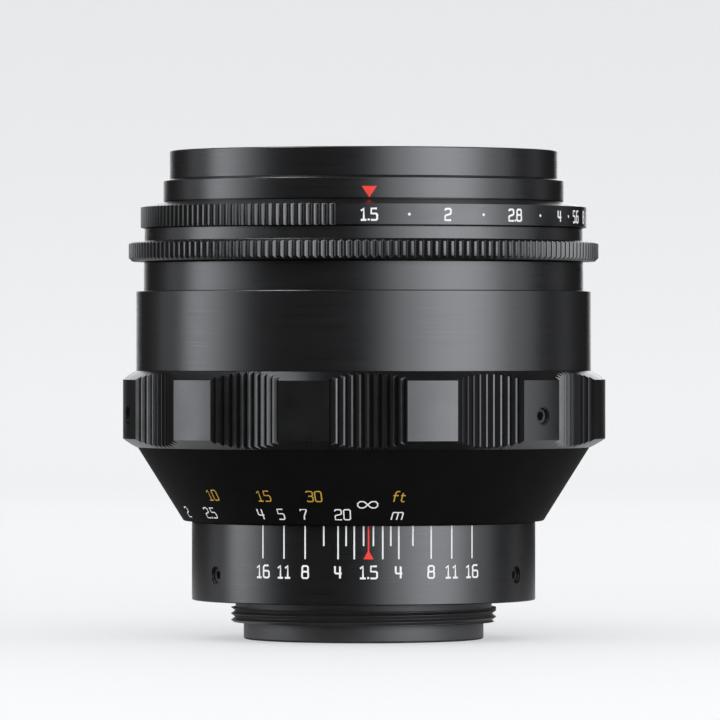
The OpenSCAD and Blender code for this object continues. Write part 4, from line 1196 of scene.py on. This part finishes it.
class LENS_OT_aperture_scale(bpy.types.Operator):
    """f-numbers and half-stop dots on the preset ring"""

    bl_idname = "lens.aperture_scale"
    bl_label = "Aperture scale"

    def execute(self, context):
        marks = context.scene.lens_marks
        height, stroke = marks.dial_height / MM, marks.dial_stroke / MM
        paint, z_base, dot = marks.paint_thickness / MM, Z_PRESET + 0.76, ("dot",)
        stops = [("1.5", -0.25), (dot, 9.9), ("2", 20), (dot, 30.1), ("2.8", 40.1), (dot, 49.5), ("4", 58.4),
                 (dot, 63.6), ("5.6", 68.9), ("8", 77), ("11", 83.7), ("16", 89)]
        strokes = []
        for text, angle in stops:
            strokes += label_strokes(text, math.radians(angle) * R_PRESET, z_base, height)
        lay_mark(draw_strokes("aperture_numbers", strokes, stroke, paint), R_PRESET, "preset", "white_fill")
        return {"FINISHED"}


class LENS_OT_index_mark(bpy.types.Operator):
    """Red triangle on the index ring"""

    bl_idname = "lens.index_mark"
    bl_label = "Index mark"

    def execute(self, context):
        paint = context.scene.lens_marks.paint_thickness / MM
        half, z_top, z_tip = 1.18, Z_INDEX + 1.62, Z_INDEX - 0.15
        corners = [(-half, z_top), (0, z_tip), (half, z_top)]
        lay_mark(draw_plate("index_mark", corners, paint), R_INDEX, "barrel", "red_fill")
        return {"FINISHED"}


def soft_light(name, left, right, elevation, distance, tall, radiance):
    """A softbox that spans two azimuths from the camera, to the right, in degrees, with an even radiance."""
    cool, target = (0.93, 0.95, 1), Vector((0, 0, 0.04))
    leave_edit()
    bpy.ops.object.light_add(type="AREA")
    lamp = bpy.context.object
    lamp.name = name
    lamp.data.shape = "RECTANGLE"
    lamp.data.size = 2 * distance * math.tan(math.radians(right - left) / 2)
    lamp.data.size_y = tall
    lamp.data.energy = radiance * math.pi * lamp.data.size * tall
    lamp.data.color = cool
    turn = math.radians(INDEX_AT + (left + right) / 2) + bpy.context.scene.lens_studio.camera_turn
    up = math.radians(elevation)
    place = Vector((math.cos(turn) * math.cos(up), math.sin(turn) * math.cos(up), math.sin(up))) * distance
    lamp.location = place + target
    lamp.rotation_euler = (target - lamp.location).to_track_quat("-Z", "Y").to_euler()
    return lamp


class LENS_OT_stage(bpy.types.Operator):
    """Pale sweep, softboxes, even fill and the camera"""

    bl_idname = "lens.stage"
    bl_label = "Stage"

    def execute(self, context):
        studio = context.scene.lens_studio
        self.sweep()
        self.boards(studio)
        self.lights(studio)
        self.world(studio)
        self.camera(studio)
        context.scene.view_settings.view_transform = "Standard"
        return {"FINISHED"}

    def sweep(self):
        """Floor and back of one sheet of paper, which glows by its distance along the sheet."""
        size, wall, bend, bend_steps = 4, 2.5, 0.9, 24
        near, far, tint = -0.3, 2, (0.995, 1, 1.012)
        levels = ((0.04, 0.43), (0.2, 0.43), (0.54, 0.47), (0.71, 0.445), (0.78, 0.4), (0.85, 0.355), (0.94, 0.31))
        sweep = new_plane("paper_sweep", size)
        select_points(sweep, lambda point: point.co.y > 1)
        bpy.ops.mesh.extrude_edges_move(TRANSFORM_OT_translate={"value": (0, 0, wall)})
        select_points(sweep, lambda point: point.co.y > 1 and point.co.z < 1)
        bpy.ops.mesh.bevel(offset=bend, segments=bend_steps)
        enter_object()
        bpy.ops.object.shade_smooth()
        material, add, feed_shader = start_material("pale_paper")
        parts = add("ShaderNodeSeparateXYZ", {0: object_place(add)}).outputs
        along = reckon(add, "ADD", parts[1], parts[2])
        share = add("ShaderNodeMapRange", {"Value": along, "From Min": near, "From Max": far}).outputs[0]
        glow = add("ShaderNodeValToRGB", {0: share})
        ramp = glow.color_ramp
        for place, level in levels:
            ramp.elements.new(place).color = (*(level * tone for tone in tint), 1)
        ramp.elements.remove(ramp.elements[0])
        ramp.elements.remove(ramp.elements[-1])
        feed_shader({"Emission Color": glow.outputs[0], "Emission Strength": 1, "Roughness": 0.9,
                     "Base Color": (0.5, 0.503, 0.508, 1), "Specular IOR Level": 0.1})
        sweep.data.materials.append(material)
        sweep.visible_glossy = False

    def boards(self, studio):
        """White boards behind the lens and under its back, which only its reflections see."""
        for name, corner, size, glow in (("floor_board", (-0.12, -0.012, 0.0003), (0.24, 0.26, 0), 0.6),
                                         ("back_board", (-0.3, 0.9, 0), (0.6, 0, 0.8), 1.5)):
            board = new_plane(name, 1)
            if not size[1]:
                bpy.ops.transform.rotate(value=math.pi / 2, orient_axis="X", center_override=(0, 0, 0))
            bpy.ops.transform.resize(value=[side or 1 for side in size], center_override=(0, 0, 0))
            bpy.ops.transform.translate(value=[low + side / 2 for low, side in zip(corner, size)])
            enter_object()
            material, _, feed_shader = start_material(name + "_white")
            feed_shader({"Base Color": (0, 0, 0, 1), "Emission Color": (0.97, 0.98, 1, 1),
                         "Emission Strength": glow * studio.side_power})
            material.cycles.emission_sampling = "NONE"
            board.data.materials.append(material)
            board.visible_camera = board.visible_diffuse = board.visible_shadow = False
            board.visible_transmission = False

    def lights(self, studio):
        """Softboxes that only the reflections see, and one overhead that they don't."""
        level, rear_level, tall = 14, 22, 0.56
        boxes = [("left_wide", -101, -60, level, 0.66, tall, 1.5), ("left_strip", -100, -71, level, 0.68, tall, 2.3),
                 ("left_core", -98, -82, level, 0.7, tall, 2), ("left_rim", -122, -112, level, 0.7, tall, 0.8),
                 ("right_wide", 5, 95, level, 0.6, tall, 1.8), ("right_box", 14, 74, level, 0.63, tall, 3),
                 ("right_strip", 28, 66, level, 0.66, tall, 2.5), ("right_core", 36, 58, level, 0.69, tall, 1.5),
                 ("right_rim", 113, 127, level, 0.7, tall, 0.4),
                 ("rear_left", -178, -166, rear_level, 0.7, tall, 0.8),
                 ("rear_right", 162, 175, rear_level, 0.7, tall, 1.2), ("key_glint", -68, -48, 51, 0.8, 0.14, 60)]
        for *place, radiance in boxes:
            soft_light(*place, radiance * studio.side_power).visible_diffuse = False
        soft_light("overhead", -23, 23, 45, 1.3, 1.1, 1.3 * studio.top_power).visible_glossy = False

    def world(self, studio):
        """Even fill, brighter from the sides than from above, that reflections hardly see."""
        low, high, glossy = 1.9 * studio.fill, 0.4 * studio.fill, 0.03
        world = bpy.data.worlds.new("studio_fill")
        world.use_nodes = True
        add = node_maker(world.node_tree)
        way = add("ShaderNodeTexCoord").outputs["Generated"]
        up = add("ShaderNodeSeparateXYZ", {0: way}).outputs[2]
        height = add("ShaderNodeMapRange", {"Value": up, "To Min": low, "To Max": high}).outputs[0]
        rays = add("ShaderNodeLightPath").outputs["Is Glossy Ray"]
        level = add("ShaderNodeMapRange", {"Value": rays, "To Min": height, "To Max": glossy}).outputs[0]
        add("ShaderNodeOutputWorld", {0: add("ShaderNodeBackground", {"Strength": level}).outputs[0]})
        bpy.context.scene.world = world

    def camera(self, studio):
        """The camera; its picture is slid by some pixels of the picture's width."""
        picture, slid_right, slid_up, sensor = 720, -3.6, -18.2, 36
        leave_edit()
        bpy.ops.object.camera_add()
        camera = bpy.context.object
        camera.name = "studio_camera"
        turn = math.radians(INDEX_AT) + studio.camera_turn
        camera.location = (studio.camera_distance * math.cos(turn), studio.camera_distance * math.sin(turn),
                           studio.camera_height)
        camera.rotation_euler = (math.pi / 2, 0, studio.camera_turn)
        camera.data.sensor_width = sensor
        camera.data.lens = sensor * studio.camera_distance / studio.frame_width
        camera.data.shift_x = slid_right / picture
        camera.data.shift_y = slid_up / picture
        camera.data.clip_end = 20
        bpy.context.scene.camera = camera


STEPS = [LENS_OT_mount_ring, LENS_OT_depth_ring, LENS_OT_distance_cone, LENS_OT_focus_grip, LENS_OT_focus_sleeve,
         LENS_OT_main_barrel, LENS_OT_aperture_ring, LENS_OT_preset_ring, LENS_OT_front_rings, LENS_OT_glass,
         LENS_OT_inner_parts, LENS_OT_depth_scale, LENS_OT_distance_scale, LENS_OT_aperture_scale,
         LENS_OT_index_mark, LENS_OT_stage]


class LENS_PT_panel(bpy.types.Panel):
    """Lists the steps and the values of the lens"""

    bl_idname = "LENS_PT_panel"
    bl_label = "Prime lens"
    bl_space_type = "VIEW_3D"
    bl_region_type = "UI"
    bl_category = "Lens"

    def draw(self, context):
        layout = self.layout
        for step in STEPS:
            layout.operator(step.bl_idname)
        for name in GROUPS:
            group = getattr(context.scene, name)
            box = layout.box()
            for key in group.__annotations__:
                box.prop(group, key)


GROUPS = {"lens_sizes": LensSizes, "lens_marks": LensMarks, "lens_look": LensLook, "lens_studio": LensStudio}


def register():
    """Registers the groups, the operators and the panel."""
    for name, group in GROUPS.items():
        bpy.utils.register_class(group)
        setattr(bpy.types.Scene, name, PointerProperty(type=group))
    for step in STEPS:
        bpy.utils.register_class(step)
    bpy.utils.register_class(LENS_PT_panel)


def unregister():
    """Removes the panel, the operators and the groups."""
    bpy.utils.unregister_class(LENS_PT_panel)
    for step in reversed(STEPS):
        bpy.utils.unregister_class(step)
    for name, group in GROUPS.items():
        delattr(bpy.types.Scene, name)
        bpy.utils.unregister_class(group)


def clear_startup():
    """Deletes what a new file holds besides the frame."""
    leave_edit()
    kept = set(frame["nodes"].values()) | set(frame["bodies"].values())
    for other in [o for o in bpy.data.objects if o not in kept]:
        other.select_set(True)
    bpy.ops.object.delete()


def main():
    """Builds the dressed lens and its stage."""
    register()
    clear_startup()
    for step in STEPS:
        group, name = step.bl_idname.split(".")
        getattr(getattr(bpy.ops, group), name)()
    leave_edit()


if __name__ == "__main__":
    main()
